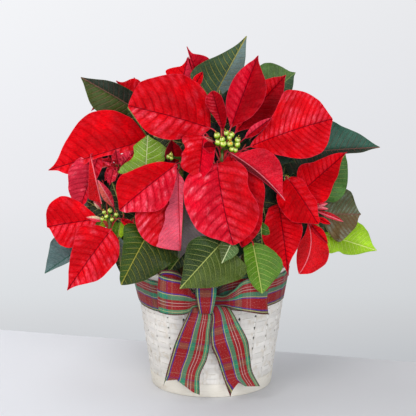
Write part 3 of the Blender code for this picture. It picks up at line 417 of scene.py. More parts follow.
# Bracts on the far side of each bloom: the place that they spring from and how far off it they start, then
# for each its turn and drop in degrees, its length and its half width
REAR_BRACTS = {
    "right": ((94, -14, 244), 14, [(70, 12, 56, 18)]),
    "upper_left": ((-116, 0, 270), 14, [(150, 12, 62, 20)]),
    "top": ((-22, 28, 375), 14, [(40, 14, 62, 20), (95, 20, 66, 21), (160, 12, 50, 15)]),
    "top_left": ((-94, 44, 354), 12, [(150, 16, 60, 19), (95, 20, 58, 18), (205, 20, 34, 12)]),
    "back_right": ((78, 78, 292), 12, [(30, 12, 78, 24), (80, 22, 74, 23), (340, 16, 70, 21),
                                       (125, 30, 52, 17)]),
    "back_left": ((-88, 92, 268), 12, [(150, 14, 76, 24), (100, 22, 72, 22), (200, 18, 66, 20),
                                       (55, 30, 46, 15)]),
    "back": ((5, 122, 286), 12, [(60, 24, 66, 20), (95, 10, 70, 22), (135, 26, 64, 20), (180, 20, 42, 13),
                                 (10, 16, 44, 13)]),
}

# Flower buds of each bloom, as offsets (x, y, z) from its hub to the middle of each bud
BUDS = {
    "centre": [(5, -17, 34), (1, -20, 29), (12.5, -17, 33.5), (18, -17, 28.5), (-4.5, -16, 31),
               (-5.5, -16, 24), (0.5, -20, 22.5), (9.5, -23, 24.5), (18, -18, 22), (11, -19, 17),
               (16, -16, 16), (8, -21, 30)],
    "left": [(-8.5, -14, 11), (-3, -17, 14.5), (5, -16, 11.5), (-6.5, -12, 19.5), (1, -13, 21), (9, -13, 17)],
    "right": [(-6, -5, 16), (-1, -6, 18), (-4, -1, 18)],
    "middle_left": [(-15, -9, 13), (-11, -12, 12), (-12, -6, 16)],
}
USUAL_BUDS = [(-2.3, -1.7, 15.5), (2.5, -1.5, 16), (0, 2.5, 16.5)]
BUD_RADIUS = {"centre": 3.5, "left": 2.8}
USUAL_BUD_RADIUS = 2.6
OPEN_BUD = {"centre": 7}
FORKS = {"centre": (4, -13, 16), "left": (0, -10, 13), "middle_left": (-6, -4, 12), "right": (-1, -2, 12)}
USUAL_FORK = (0, 0, 15)

# A flower bud from its foot to its crown: radius and height as shares of the bud's radius, then its colour;
# the pale straw on its upper side partly stands for a painted highlight and the darker green at its foot for
# painted shade
BUD_PROFILE = [
    (0.0, -1.25, "grass"), (0.35, -1.2, "grass"), (0.7, -0.85, "grass"), (0.93, -0.35, "bright"),
    (1.0, 0.1, "lime"), (0.94, 0.55, "straw"), (0.74, 0.92, "straw"), (0.6, 1.08, "lime"),
    (0.42, 1.12, "gold vein"), (0.25, 0.95, "olive"), (0.0, 0.85, "olive"),
]
# Its nectar gland, given like the bud but without a colour
GLAND_PROFILE = [(0.0, -0.3), (0.45, -0.2), (0.62, 0.05), (0.6, 0.25), (0.45, 0.3), (0.3, 0.12), (0.0, 0.02)]

# Where each stem leaves the potting mix (x, y)
FEET = {
    "centre": (10, -18), "left": (-48, -14), "right": (46, -2), "upper_left": (-44, 16),
    "middle_left": (-22, -34), "lower_right": (50, -32), "top": (-2, 18), "top_left": (-16, 40),
    "back_right": (38, 34), "back_left": (-36, 50), "back": (8, 58),
}

# Green leaves of each stem that show from the front
LEAVES = {
    "centre": [
        leaf(0.5, (13, 179, -100), (-40, 119, -134),
            "0:6 3:34 8:43 20:46.5 34:44 50:37 66:27.5 80:17.5 91:7.5 97:2.5 100:0.4",
            "0:3 4:12 12:20 25:27 38:28.5 52:24.5 68:16 82:8.5 93:3.5 100:0.4",
            "olive/deep", fold=0.08, gap=7.5, marks=(0.6, 0.9), bend=2.4),
        leaf(0.4, (26, 180, -104), (13, 152, -122), 12, 12, "sage/olive", "whitish vein", gap=4.5,
            marks=0.8),
        leaf(0.4, (52, 178, -92), (64, 113, -128),
            "0:2 6:11 16:19 35:26 55:30 70:25 84:15 94:7 100:0.8",
            "0:2 6:10 20:13 40:14 60:13.5 78:11 92:6 100:0.8",
            "moss/bright", gap=6.5, bend=2.5, marks=(1.2, 1)),
        leaf(0.75, (-4, 268, -24), (-22, 200, -26), 22, 24, "dark"),
        leaf(0.85, (-10, 298, -22), (-72, 314, -18), 20, 20, "dark/deep"),
        leaf(0.7, (26, 268, -28), (30, 336, -14), 25, 25, "dark", "deep"),
        leaf(0.5, (46, 212, -34), (58, 162, -38), 13, 13, "deep/dark"),
    ],
    "left": [
        leaf(0.75, (-158, 176, -28), (-210, 139, -28),
            "0:2 20:6.5 48:6.3 76:3 90:1.5 100:0.4",
            "0:2 15:18 30:26.5 44:29 54:26 63:21 75:14.5 82:11 92:4.5 100:0.4", "slate", "teal"),
        leaf(0.7, (-77, 195, -64), (-114, 124, -94),
            "0:6 3:26 9:39 17:44.5 27:45 38:42 50:37.5 66:29.5 82:20.7 91:12.5 97:5.5 100:0.5",
            "0:8 5:22 12:28 18:29 30:24.5 44:19.8 58:15.6 73:11.4 85:7.5 94:4.4 100:0.5",
            "forest/meadow", "gold vein", arch=0.1, gap=7.5, bend=2.2, marks=(0.8, 1)),
        leaf(0.8, (-112, 205, -22), (-156, 232, -16), 16, 16, "dark"),
        leaf(0.85, (-110, 214, -26), (-124, 256, -18), 13, 13, "dark/deep"),
        leaf(0.6, (-98, 208, -30), (-114, 160, -34), 13, 13, "grass/deep"),
    ],
    "right": [
        leaf(0.6, (134.5, 236.8, -8), (166, 292.2, -4),
            "0:3 10:12 30:20 50:18 70:12 90:4 100:0.4",
            "0:4 3:15 8:19.5 18:23 32:24.3 42:23.3 52:21.3 64:17.5 75:13.2 89:7 96:2.5 100:0.4",
            "teal/leek", arch=0.02, fold=0.03, gap=6),
        leaf(0.6, (60, 240, -8), (76, 178, -16), 20, 20, "dark"),
        leaf(0.75, (66, 256, 14), (126, 276, 18), 22, 22, "dark/teal"),
        leaf(0.65, (82, 240, 6), (102, 184, 2), 20, 20, "dark/deep"),
    ],
    "upper_left": [
        leaf(0.7, (-82, 265, -22), (-79, 315, -28),
            "0:22 3:32 10:32.5 17:31 30:25 42:18.2 55:15.5 64:16.3 72:16.7 85:10 94:4.5 100:0.6",
            "0:8 8:16 18:18 29:19.7 36:20.5 44:22.8 58:22 65:23.6 71:24.4 80:19 87:13.7 95:5 100:0.6",
            "apple", "whitish vein", gap=7.5, bend=2, marks=1.5, pale=0.3),
    ],
    "middle_left": [
        leaf(0.75, (-31, 243, -46), (-41, 157, -74),
            "0:2 20:12 35:19 50:26.5 60:31 65:32 70:29 79:18.5 89:7.6 96:2.5 100:0.4",
            "0:2 15:8 40:9 70:6 88:3 100:0.4", "plum", "moss vein", gap=4, quilt=0.6, marks=1.5),
        leaf(0.7, (-58, 240, -6), (-122, 192, -6), 24, 24, "dark"),
        leaf(0.5, (-52, 218, -24), (-70, 158, -44), 20, 20, "bright/grass", gap=6),
        leaf(0.8, (-34, 252, -16), (-24, 306, -12), 13, 13, "dark", "deep"),
    ],
    "lower_right": [
        leaf(0.8, (134, 215.2, 0), (186.8, 215, 0),
            "0:4 10:16 30:26 45:31 55:33.5 63:32.6 72:30 79:26.4 85:16.1 92:7 97:2.5 100:0.5",
            "0:4 9:11.4 18:19.4 27:26 36:31.5 45:35 50:35 61:30.7 70:26 78:21.5 86:17 91:12 95:3.5 100:0.5",
            "bronze/rust", "rust vein", gap=5, marks=(1.6, 1.4), pale=(0.4, 0.5), arch=0.03, fold=0.04),
        leaf(0.75, (140, 190, 8), (207.6, 168.6, 6),
            "0:4 10:16 30:25 45:26.3 54:26 63:24.9 70:21.5 76:18.2 82:12.5 87:7.6 94:3 100:0.5",
            "0:4 6:16 14:20.5 23:21 29:18.5 34:16 44:17.1 57:15.7 70:11.9 80:7.5 89:3.9 95:2 100:0.5",
            "lime", "straw", gap=5, arch=0.03, marks=1.2),
    ],
    "top": [
        leaf(0.88, (1, 359, 18), (42.9, 438.2, 30),
            "0:2 6:26 14:37 25:38 40:31 55:21 70:12 84:5 93:2.2 100:0.4",
            "0:2 10:12 30:18 50:18 70:13 85:6.5 95:2.2 100:0.4",
            "pine/slate", "gold vein", fold=0.2, gap=7.5, marks=(1.5, 0.4), bend=2),
        leaf(0.8, (50, 346, 34), (103.2, 393.2, 46),
            "0:2 20:19 40:31 52:34.5 64:35 72:33 78:29 84:22.5 89:15 93:6.5 97:2.5 100:0.4",
            "0:2 30:16 50:19 66:17.5 76:13.8 86:8 93:3.1 100:0.4", "sage/pine", "moss vein", marks=(1, 0.8)),
        leaf(0.7, (4, 312, 4), (10, 372, 8), 22, 22, "dark"),
    ],
    "top_left": [
        leaf(0.9, (-76, 337, 26), (-161, 387.3, 22),
            "0:2 10:10 25:18 45:25 60:27.5 74:23 86:13 94:5 100:0.4",
            "0:2 10:10 30:16 50:16 70:12.5 85:6 95:2 100:0.4",
            "olive/dark", "rust vein", gap=7, marks=(1.6, 0.8), bend=1.6),
        leaf(0.75, (-68, 296, 14), (-104, 350, 12), 20, 20, "dark"),
    ],
    "back_right": [
        leaf(0.7, (88, 291, 13), (209, 300, 17),
            "0:1 6:11 14:20 25:29 36:35 46:37.5 52:35.5 64:27.8 73:22.2 81:16.6 90:8.2 96:3 100:0.4",
            "0:4 4:24 10:25 16:22 25:16 36:11 50:7 67:6 81:5.5 92:2 100:0.4",
            "teal/dark", "rust vein", gap=7),
    ],
}

# Leaves on the far side of each stem
REAR_LEAVES = {
    "right": [(0.4, (85, 5, 200), 35, 8, 20, 66, 21)],
    "upper_left": [(0.45, (-84, 14, 205), 165, 10, 20, 70, 22)],
    "top": [(0.55, (-8, 26, 268), 70, 6, 26, 60, 20)],
    "top_left": [(0.55, (-40, 44, 250), 110, 10, 26, 60, 20)],
    "back_right": [(0.75, (66, 66, 240), 20, 10, 34, 66, 22), (0.6, (60, 60, 215), 70, 22, 34, 62, 21),
                   (0.45, (54, 50, 190), 35, 12, 30, 60, 20, "grass/olive")],
    "back_left": [(0.75, (-72, 88, 225), 165, 10, 34, 66, 22), (0.6, (-66, 84, 205), 95, 26, 30, 62, 21),
                  (0.4, (-54, 62, 190), 130, 12, 28, 62, 21, "grass/olive")],
    "back": [(0.7, (5, 104, 235), 75, 24, 34, 60, 20),
             (0.4, (10, 72, 205), 45, 12, 26, 58, 20, "grass/olive"),
             (0.55, (5, 96, 215), 130, 30, 34, 58, 19)],
}

# Young leaves deep in the crown, which close the gaps between blooms; the near-black ones are painted shade,
# dark sheets that stand for the shadow in those gaps
YOUNG_LEAVES = {
    "centre": [
        leaf(0.8, (10, 332, -22), (-18, 262, -26), 21, 21, "night", "dark"),
        leaf(0.8, (20, 302, -8), (104, 282, -4), 21, 21, "night/dark", "dark"),
        leaf(0.75, (-28, 302, -18), (-68, 274, -14), 15, 15, "night", "dark"),
        leaf(0.6, (30, 262, -20), (10, 196, -24), 22, 22, "night", "dark"),
        leaf(0.85, (26, 312, -26), (52, 326, -30), 11, 11, "night", "dark"),
        leaf(0.8, (14, 292, -32), (-10, 252, -36), 14, 14, "night", "dark"),
        leaf(0.5, (0, 216, -40), (-16, 172, -44), 11, 11, "night/dark", "dark"),
        leaf(0.5, (62, 206, -44), (64, 164, -50), 10, 10, "grass/dark"),
        leaf(0.5, (42, 204, -58), (30, 156, -66), 15, 15, "dark/deep", "grass"),
        leaf(0.8, (46, 324, -12), (74, 308, -10), 12, 12, "night", "dark"),
        leaf(0.8, (52, 314, -22), (84, 334, -22), 10, 10, "night/dark", "dark"),
        leaf(0.5, (-30, 172, -66), (-56, 138, -76), 11, 11, "dark/grass", gap=6),
        leaf(0.85, (14, 348, 2), (24, 374, 6), 9, 9, "dark/teal", "dark"),
    ],
    "left": [
        leaf(0.85, (-134, 212, -36), (-144, 192, -40), 8, 8, "lime/bright", gap=4, ruffle=3),
        leaf(0.85, (-122, 208, -37), (-127, 186, -40), 7, 7, "bright/lime", gap=4, ruffle=3),
        leaf(0.85, (-114, 205, -37), (-119, 178, -42), 8, 8, "lime/bright", gap=4, ruffle=3),
        leaf(0.8, (-128, 226, -14), (-170, 224, -12), 17, 15, "dark/slate", gap=5),
        leaf(0.7, (-116, 186, -44), (-114, 138, -50), 9, 9, "slate/dark", gap=6),
        leaf(0.8, (-138, 258, -4), (-156, 234, -4), 10, 10, "dark", "deep"),
    ],
    "right": [
        leaf(0.7, (62, 264, -6), (86, 226, -10), 15, 15, "night/dark", "dark"),
        leaf(0.7, (116, 218, -6), (108, 184, -8), 13, 13, "dark/grass"),
        leaf(0.75, (92, 262, 0), (92, 224, -2), 11, 11, "dark/night", "dark"),
        leaf(0.75, (118, 282, 6), (144, 286, 8), 10, 10, "dark", "deep"),
        leaf(0.6, (108, 206, -14), (114, 174, -16), 13, 13, "dark/deep", "deep"),
        leaf(0.7, (126, 232, -2), (142, 212, -2), 9, 9, "dark", "deep"),
    ],
    "upper_left": [
        leaf(0.8, (-118, 262, -6), (-104, 226, -10), 16, 16, "dark", "deep"),
        leaf(0.8, (-124, 276, 0), (-136, 232, -4), 17, 17, "dark/night", "dark"),
        leaf(0.8, (-108, 276, 2), (-118, 246, 0), 12, 12, "night/dark", "dark"),
        leaf(0.8, (-122, 296, 4), (-138, 282, 2), 10, 10, "night/dark", "dark"),
    ],
    "lower_right": [
        leaf(0.8, (128, 214, -10), (140, 188, -10), 9, 9, "dark"),
        leaf(0.7, (134, 204, -6), (150, 192, -4), 7, 7, "dark/deep", "deep"),
    ],
}

# Stripes of the tartan across the ribbon, as shares of its width
WARP = [
    (0.0, "#3A0A10"), (0.028, "#186A4C"), (0.045, "#A8A46C"), (0.07, "#123C38"), (0.085, "#101E86"),
    (0.115, "#8C040C"), (0.4, "#101E86"), (0.435, "#A8A268"), (0.46, "#1E7C5C"), (0.585, "#8C040C"),
    (0.655, "#B89490"), (0.672, "#5A0A10"), (0.69, "#8C040C"), (0.74, "#B89490"), (0.757, "#8C040C"),
    (0.855, "#228862"), (0.905, "#A0A870"), (0.925, "#1E7C5C"), (0.97, "#30080E"),
]
# Stripes along the ribbon, as shares of one repeat, which is the ribbon's width
WEFT = [
    (0.0, "#8C040C"), (0.2, "#A8A46C"), (0.215, "#8C040C"), (0.32, "#101E86"), (0.345, "#30080E"),
    (0.36, "#1E7C5C"), (0.43, "#A8A268"), (0.45, "#1E7C5C"), (0.53, "#101E26"), (0.55, "#8C040C"),
    (0.66, "#B89490"), (0.675, "#5A0A10"), (0.69, "#8C040C"), (0.74, "#B89490"), (0.755, "#8C040C"),
    (0.9, "#30080E"), (0.915, "#8C040C"),
]

# Bow loops in plan: (x, y) along the ribbon, then the heights of its two edges
LEFT_LOOP = (
    (-8.0, -101.2, 123, 138), (-21, -101.4, 121, 140), (-27, -106, 116, 150), (-36, -113, 115, 158),
    (-48, -114, 115, 161), (-59, -110, 116, 163), (-64, -104.5, 117, 165), (-60, -100.5, 118, 167),
    (-48, -99.9, 118, 167), (-36, -99.7, 117, 162), (-27, -99.5, 118, 151), (-21, -99.3, 122, 140),
    (-8.0, -99.3, 124, 137),
)
RIGHT_LOOP = (
    (-6.0, -101.2, 123, 138), (5, -101.4, 123, 137), (14, -106, 125, 137), (26, -112, 123, 146),
    (38, -114.5, 120, 158), (50, -115, 118, 162), (62, -110, 115, 163), (68, -104, 114, 163),
    (64, -100.5, 115, 164), (50, -99.9, 117, 164), (32, -99.7, 119, 162), (16, -99.5, 121, 155),
    (5, -99.3, 123, 144), (-6.0, -99.3, 124, 137),
)

# Knot seen from the side: (y, height) round the wrap, then its half width
KNOT = (
    (-98.6, 118, 9), (-98.4, 130, 11), (-98.6, 143, 13), (-100.5, 147.5, 13), (-103.4, 141, 13),
    (-104.4, 130, 11.5), (-103.2, 119, 9), (-100.6, 113.5, 8), (-98.6, 118, 9),
)
KNOT_CENTRE = (-100.9, 131.0)

# Ribbon tails: each row gives its left and right edge as sighted from the front, and its y
LEFT_TAIL = (
    ((-20, 110), (-5, 108), -96.6), ((-28, 90), (0, 84), -97.0), ((-38, 68), (-1.8, 62), -101.5),
    ((-47, 46), (-2.4, 45), -98.5), ((-52, 29), (-6, 26), -94.5), ((-57, 11), (-14, 8), -97.0),
    ((-62, -12), (-15, -20), -99.5),
)
RIGHT_TAIL = (
    ((-9, 110), (8, 110), -95.6), ((1, 84), (22, 96), -95.6), ((-0.8, 62), (35, 74), -98.0),
    ((-0.2, 46), (46, 52), -101.5), ((7, 27), (49, 32), -97.0), ((14, 5), (52, 11), -94.5),
    ((24, -23), (62, -9), -98.5),
)
# Notches of the tails: share of the width, and how much is cut off there
LEFT_CUT = ((0, 0), (0.06, 10.5), (0.37, 13.8), (0.55, 8.8), (0.8, 2.1), (1, 0))
RIGHT_CUT = ((0, 0), (0.07, 7), (0.28, 15), (0.5, 7), (0.75, 3), (1, 0))


def smooth_curve(places, values, share):
    """Smooth curve through values, or points, that lie at places."""
    slopes = np.gradient(values, places, axis=0)
    low = np.clip(np.searchsorted(places, share, side="right") - 1, 0, len(places) - 2)
    width = places[low + 1] - places[low]
    way = np.clip((share - places[low]) / width, 0.0, 1.0)
    if values.ndim == 2:
        width, way = width[:, None], way[:, None]
    start, end = values[low], values[low + 1]
    leave = slopes[low] * width - (end - start)
    arrive = (end - start) - slopes[low + 1] * width
    return start + (end - start) * way + way * (1.0 - way) * (leave * (1.0 - way) + arrive * way)


def half_width(readings, share):
    """Half width along a blade whose edge is given as readings."""
    knots = np.array([reading.split(":") for reading in readings.split()], float)
    return np.maximum(smooth_curve(knots[:, 0] / 100.0, knots[:, 1], share), 0.02)


def travelled(path):
    """Distance along a path to each of its points."""
    return np.concatenate(([0.0], np.cumsum(np.linalg.norm(np.diff(path, axis=0), axis=1))))


def spline(points, count):
    """Evenly spaced points on a smooth curve through the given ones."""
    points = np.array(points, float)
    places = travelled(points)
    return smooth_curve(places, points, np.linspace(0.0, places[-1], count))


def unit(vector):
    """The vector at a length of one."""
    return vector / np.maximum(np.linalg.norm(vector, axis=-1, keepdims=True), 1e-9)


def beside_axis(radius, turn, height):
    """Points at a radius, a turn and a height round the Z axis."""
    return np.stack(np.broadcast_arrays(radius * np.cos(turn), radius * np.sin(turn), height), axis=-1)


def blade_frame(shape):
    """Length of the blade, then its directions along, across and out of its face."""
    along = shape["tip"] - shape["base"]
    length = np.linalg.norm(along)
    along = along / length
    facing = unit(shape["face"] - along * shape["face"].dot(along))
    return length, along, np.cross(along, facing), facing


def side_reach(shape, side, share):
    """Half width of the blade along its length, on its left (0) or right (1) side."""
    half = shape["halves"][side]
    if isinstance(half, str):
        return half_width(half, share)
    return half * half_width(OUTLINES[shape["kind"]], share)


def widest_half(shape):
    """Greatest half width of the blade."""
    share = np.linspace(0, 1, 30)
    return max(side_reach(shape, 0, share).max(), side_reach(shape, 1, share).max())


def blade_rise(shape, length, share, out, reach, phase, chance):
    """How far each point stands off the blade's face: fold, waves, quilting, midrib, ruffle and curl."""
    side = np.abs(out)
    far = side * reach
    widest = reach.max()
    fullness = reach / widest
    ripple = np.sin(TAU * 2.2 * share + np.where(out > 0, 0.0, 1.9))
    rise = far * (shape["fold"] + shape["wave"] * side * ripple * 2.0)
    pillow = np.abs(np.sin(math.pi * phase)) ** 0.6
    inner = np.clip(far / 3.5, 0.0, 1.0) * (1.0 - 0.7 * side ** 4)
    rise = rise + 0.07 * shape["gap"] * shape["quilt"] * pillow * inner * np.clip(fullness * 1.4, 0.0, 1.0)
    rise = rise - 0.9 * np.exp(-(far / 1.7) ** 2) * np.clip(fullness * 3.0, 0.0, 1.0)
    rise = rise - 0.12 * shape["fold"] * widest * side ** 3 * fullness
    for scale in (1.0, 1.7, 2.9):
        turn, lean = chance.uniform(0.0, TAU, 2)
        swell = np.sin(TAU * scale * share * 1.1 + turn + lean * out * 0.35)
        rise = rise + 0.02 * length / scale * swell * side * fullness
    flutter = np.sin(TAU * 5.3 * share + chance.uniform(0.0, TAU))
    flutter = flutter + np.sin(TAU * 8.7 * share + chance.uniform(0.0, TAU))
    rise = rise + 0.6 * shape["ruffle"] * flutter * side ** 4 * fullness
    return rise - shape["curl"] * length * np.clip((share - 0.62) / 0.38, 0.0, 1.0) ** 2


def blade_surface(shape, rows, columns, seed):
    """Middle surface of a blade, its flat places, what its veins read and each point's place across."""
    length, along, side, facing = blade_frame(shape)
    share = np.linspace(0.0, 1.0, rows + 1)[:, None]
    place = np.linspace(-1.0, 1.0, 2 * columns + 1)[None, :]
    out = np.sign(place) * np.abs(place) ** 1.15
    reach = np.where(out > 0, side_reach(shape, 1, share), side_reach(shape, 0, share))
    far = np.abs(out) * reach
    phase = (share * length - (0.24 + 0.45 * share) * far - 0.004 * shape["bend"] * far ** 2) / shape["gap"]
    phase = phase + 0.25 * np.sign(out) * np.clip(far / 1.2, 0.0, 1.0)
    rise = blade_rise(shape, length, share, out, reach, phase, np.random.RandomState(seed))
    bow = 4.0 * share * (1.0 - share) * length
    middle = shape["base"] + along * (length * share)[..., None] + facing * (shape["arch"] * bow)[..., None]
    middle = middle + side * (shape["sweep"] * bow)[..., None]
    points = middle + side * (reach * out)[..., None] + facing * rise[..., None]
    margin = np.minimum(reach - far, (1.0 - share) * length)
    flat = np.stack(np.broadcast_arrays(np.sign(out) * far, share * length), axis=-1)
    return points, flat, np.stack((phase, margin * UV_UNIT), axis=-1), out


def surface_normal(points):
    """Direction square to a grid of points."""
    return unit(np.cross(np.gradient(points, axis=1), np.gradient(points, axis=0)))


def grid_faces(count, width):
    """Four corners of each cell of a grid of points."""
    index = np.arange(count * width).reshape(count, width)
    return np.stack((index[:-1, :-1], index[:-1, 1:], index[1:, 1:], index[1:, :-1]), axis=-1).reshape(-1, 4)


def grid_edge(count, width):
    """Points round the edge of a grid, in order."""
    index = np.arange(count * width).reshape(count, width)
    return np.concatenate((index[0, :], index[1:, -1], index[-1, -2::-1], index[-2:0:-1, 0]))


def ring_faces(count, sides, closed=False):
    """Four corners of each cell between rings of points; `closed` joins the last ring to the first."""
    index = np.arange(count * sides).reshape(count, sides)
    beside = np.roll(index, -1, axis=1)
    rows = np.arange(count if closed else count - 1)
    after = (rows + 1) % count
    return np.stack((index[rows], beside[rows], beside[after], index[after]), axis=-1).reshape(-1, 4)


def turned_over(faces):
    """The same four-cornered faces, seen from their other side."""
    return faces[:, [0, 3, 2, 1]]


def part(points, faces, flat=(0.0, 0.0), veins=(0.5, 0.05), skin=WHITE, vein=WHITE):
    """A piece of a mesh: its points, its faces with their material's number, and what its materials read."""
    layers = {"flat": (flat, 2), "veins": (veins, 2), "skin": (skin, 4), "vein": (vein, 4)}
    read = {name: np.broadcast_to(values, (len(points), width)) for name, (values, width) in layers.items()}
    return {"points": points, "faces": faces, **read}


def two_halves(out, left, right, strengths):
    """Colour of each point from those of the two halves, with the halves' strengths as its alpha."""
    blend = np.clip(out * 4.0 + 0.5, 0.0, 1.0)[..., None]
    weak, strong = strengths if isinstance(strengths, tuple) else (strengths, strengths)
    colour = left * (1.0 - blend) + right * blend
    colour[..., 3:] = weak * (1.0 - blend) + strong * blend
    return colour


def blade_part(shape, seed):
    """A closed thin blade with its midrib standing out on the underside."""
    rows = int(np.clip(blade_frame(shape)[0] / CELL, 12, 72))
    columns = int(np.clip(widest_half(shape) / CELL, 4, 30))
    points, flat, veins, out = blade_surface(shape, rows, columns, seed)
    normal = surface_normal(points)
    share = np.linspace(0.0, 1.0, rows + 1)[:, None]
    rib = RIB_THICKNESS * np.exp(-flat[..., 0] ** 2) * (1.0 - 0.85 * share)
    top = points + normal * (SKIN_THICKNESS * 0.5)
    under = points - normal * (SKIN_THICKNESS * 0.5 + rib)[..., None]
    width = 2 * columns + 1
    count = (rows + 1) * width
    cells = grid_faces(rows + 1, width)
    edge = grid_edge(rows + 1, width)
    after = np.roll(edge, -1)
    rim = np.stack((edge, edge + count, after + count, after), axis=-1)
    chance = np.random.RandomState(seed + 500)
    left, right = SKIN_COLOURS[shape["skin"][0]], SKIN_COLOURS[shape["skin"][-1]]
    tone = chance.uniform(0.9, 1.08)
    # The skin layer's alpha carries the strength of the painted ridge highlight, half by half.
    skin = two_halves(out, left * tone, right * tone, shape["pale"])
    vein = two_halves(out, SKIN_COLOURS[shape["vein"]], SKIN_COLOURS[shape["vein"]], shape["marks"])

    def both_sides(values):
        """Values of the top, then the same ones for the underside, a row for each point."""
        values = np.broadcast_to(values, (rows + 1, width, values.shape[-1])).reshape(count, -1)
        return np.concatenate((values, values))

    return part(np.concatenate((top.reshape(-1, 3), under.reshape(-1, 3))),
                [(cells, 0), (cells[:, ::-1] + count, 1), (rim, 0)], both_sides(flat) * UV_UNIT,
                both_sides(veins), both_sides(skin), both_sides(vein))


def tube_part(path, radii, sides, material, skin):
    """A round rod along a path, with a colour for each of its points or one for all."""
    path = np.array(path, float)
    count = len(path)
    way = unit(np.gradient(path, axis=0))
    first = unit(np.cross(way, np.array((0.31, 0.93, 0.17))))
    second = np.cross(way, first)
    angle = TAU * np.arange(sides) / sides
    radii = np.broadcast_to(radii, count)[:, None, None]
    ring = first[:, None] * np.cos(angle)[None, :, None] + second[:, None] * np.sin(angle)[None, :, None]
    points = np.concatenate(((path[:, None] + ring * radii).reshape(-1, 3), path[:1], path[-1:]))
    foot, head = len(points) - 2, len(points) - 1
    index = np.arange(sides)
    beside = np.roll(index, -1)
    last = (count - 1) * sides
    start = np.stack((np.full(sides, foot), beside, index), axis=-1)
    end = np.stack((np.full(sides, head), index + last, beside + last), axis=-1)
    travel = travelled(path)
    turn = np.tile(index / sides, count) * float(np.mean(radii)) * TAU
    flat = np.stack((np.append(turn, (0, 0)), np.append(np.repeat(travel, sides), (0, travel[-1]))), axis=-1)
    colours = np.broadcast_to(skin, (count, 4))
    shade = np.concatenate((np.repeat(colours, sides, axis=0), colours[:1], colours[-1:]))
    faces = [(ring_faces(count, sides), material), (start, material), (end, material)]
    return part(points, faces, flat * UV_UNIT, skin=shade)


def turned_part(profile, sides, material, skin, lobes=(0, 0.0), closed=False):
    """A body turned round the Z axis from a (radius, height) profile, with a gently lobed section."""
    profile = np.array(profile, float)
    count = len(profile)
    angle = TAU * np.arange(sides) / sides
    radius = profile[:, :1] * (1.0 + lobes[1] * np.cos(lobes[0] * angle))
    points = beside_axis(radius, angle, profile[:, 1:]).reshape(-1, 3)
    turn = np.tile(angle, count) * profile[:, 0].max()
    flat = np.stack((turn, np.repeat(travelled(profile), sides)), axis=-1)
    shade = np.repeat(skin, sides, axis=0) if np.ndim(skin) == 2 else skin
    return part(points, [(ring_faces(count, sides, closed), material)], flat * UV_UNIT, skin=shade)


def moved(piece, offset, lean):
    """The piece tipped so that its +Z points along `lean`, then moved."""
    way = unit(np.array(lean, float))
    side = unit(np.cross((0.0, 1.0, 0.0) if abs(way[1]) < 0.9 else (1.0, 0.0, 0.0), way))
    return {**piece, "points": piece["points"] @ np.stack((side, np.cross(way, side), way)) + offset}


def shifted(piece, shift):
    """The piece with its flat places shifted, so that its grain differs from its neighbours'."""
    return {**piece, "flat": piece["flat"] + shift}


def placed(name, data):
    """An object of a mesh, light or camera, in the scene."""
    made = bpy.data.objects.new(name, data)
    bpy.context.scene.collection.objects.link(made)
    return made


def stitched(name, parts, materials):
    """One mesh object in metres made of all the parts."""
    starts = np.cumsum([0] + [len(piece["points"]) for piece in parts])
    groups = [(faces + start, material) for piece, start in zip(parts, starts)
              for faces, material in piece["faces"]]
    corners = np.concatenate([faces.ravel() for faces, _ in groups])
    sizes = np.concatenate([np.full(len(faces), faces.shape[1]) for faces, _ in groups])
    which = np.concatenate([np.full(len(faces), material) for faces, material in groups])
    points = np.concatenate([piece["points"] for piece in parts]) * MM
    data = bpy.data.meshes.new(name)
    data.vertices.add(len(points))
    data.vertices.foreach_set("co", points.ravel())
    data.loops.add(len(corners))
    data.loops.foreach_set("vertex_index", corners)
    data.polygons.add(len(sizes))
    data.polygons.foreach_set("loop_start", np.concatenate(([0], np.cumsum(sizes)[:-1])))
    data.polygons.foreach_set("material_index", which)
    data.update(calc_edges=True)
    for layer in ("flat", "veins"):
        values = np.concatenate([piece[layer] for piece in parts])
        data.uv_layers.new(name=layer).data.foreach_set("uv", values[corners].ravel())
    for layer in ("skin", "vein"):
        values = np.concatenate([piece[layer] for piece in parts])
        data.attributes.new(layer, "FLOAT_COLOR", "POINT").data.foreach_set("color", values.ravel())
    data.shade_smooth()
    data.set_sharp_from_angle(angle=math.radians(55))
    for material in materials:
        data.materials.append(material)
    return placed(name, data)


def seat(piece, slot, *nodes):
    """Bind the piece to the pot, in the place of its CAD nodes."""
    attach(piece, "root")
    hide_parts(*nodes)


def add(tree, kind, settings=None, inputs=None):
    """A shader node with its settings, and its inputs set or linked."""
    made = tree.nodes.new(kind)
    for name, value in (settings or {}).items():
        setattr(made, name, value)
    for name, value in (inputs or {}).items():
        if isinstance(value, bpy.types.NodeSocket):
            tree.links.new(value, made.inputs[name])
        else:
            made.inputs[name].default_value = value
    return made


def new_material(name, roughness, **sockets):
    """A material with its surface shader ready, and its node tree."""
    material = bpy.data.materials.new(name)
    material.use_nodes = True
    surface = material.node_tree.nodes["Principled BSDF"]
    surface.inputs["Roughness"].default_value = roughness
    for socket, value in sockets.items():
        surface.inputs[socket.replace("_", " ")].default_value = value
    return material, material.node_tree, surface


def coloured(tree, value, stops, interpolation="LINEAR"):
    """Colour for a value, from (place, hex colour) stops."""
    made = add(tree, "ShaderNodeValToRGB", None, {0: value})
    band = made.color_ramp
    band.interpolation = interpolation
    while len(band.elements) < len(stops):
        band.elements.new(1.0)
    for element, (place, colour) in zip(band.elements, stops):
        element.position = place
        element.color = linear(colour)
    return made.outputs[0]


def lessening(tree, value, reach, strength, start=0.0):
    """A smooth mask: `strength` where the value is at `start`, fading to nothing at `reach`."""
    return scaled(tree, value, strength, 0.0, start, reach, "SMOOTHSTEP")


def scaled(tree, value, low, high, start=0.3, end=0.7, interpolation="LINEAR"):
    """The value stretched from `start`..`end` to `low`..`high`."""
    return add(tree, "ShaderNodeMapRange", {"interpolation_type": interpolation},
               {"Value": value, "From Min": start, "From Max": end, "To Min": low, "To Max": high}).outputs[0]


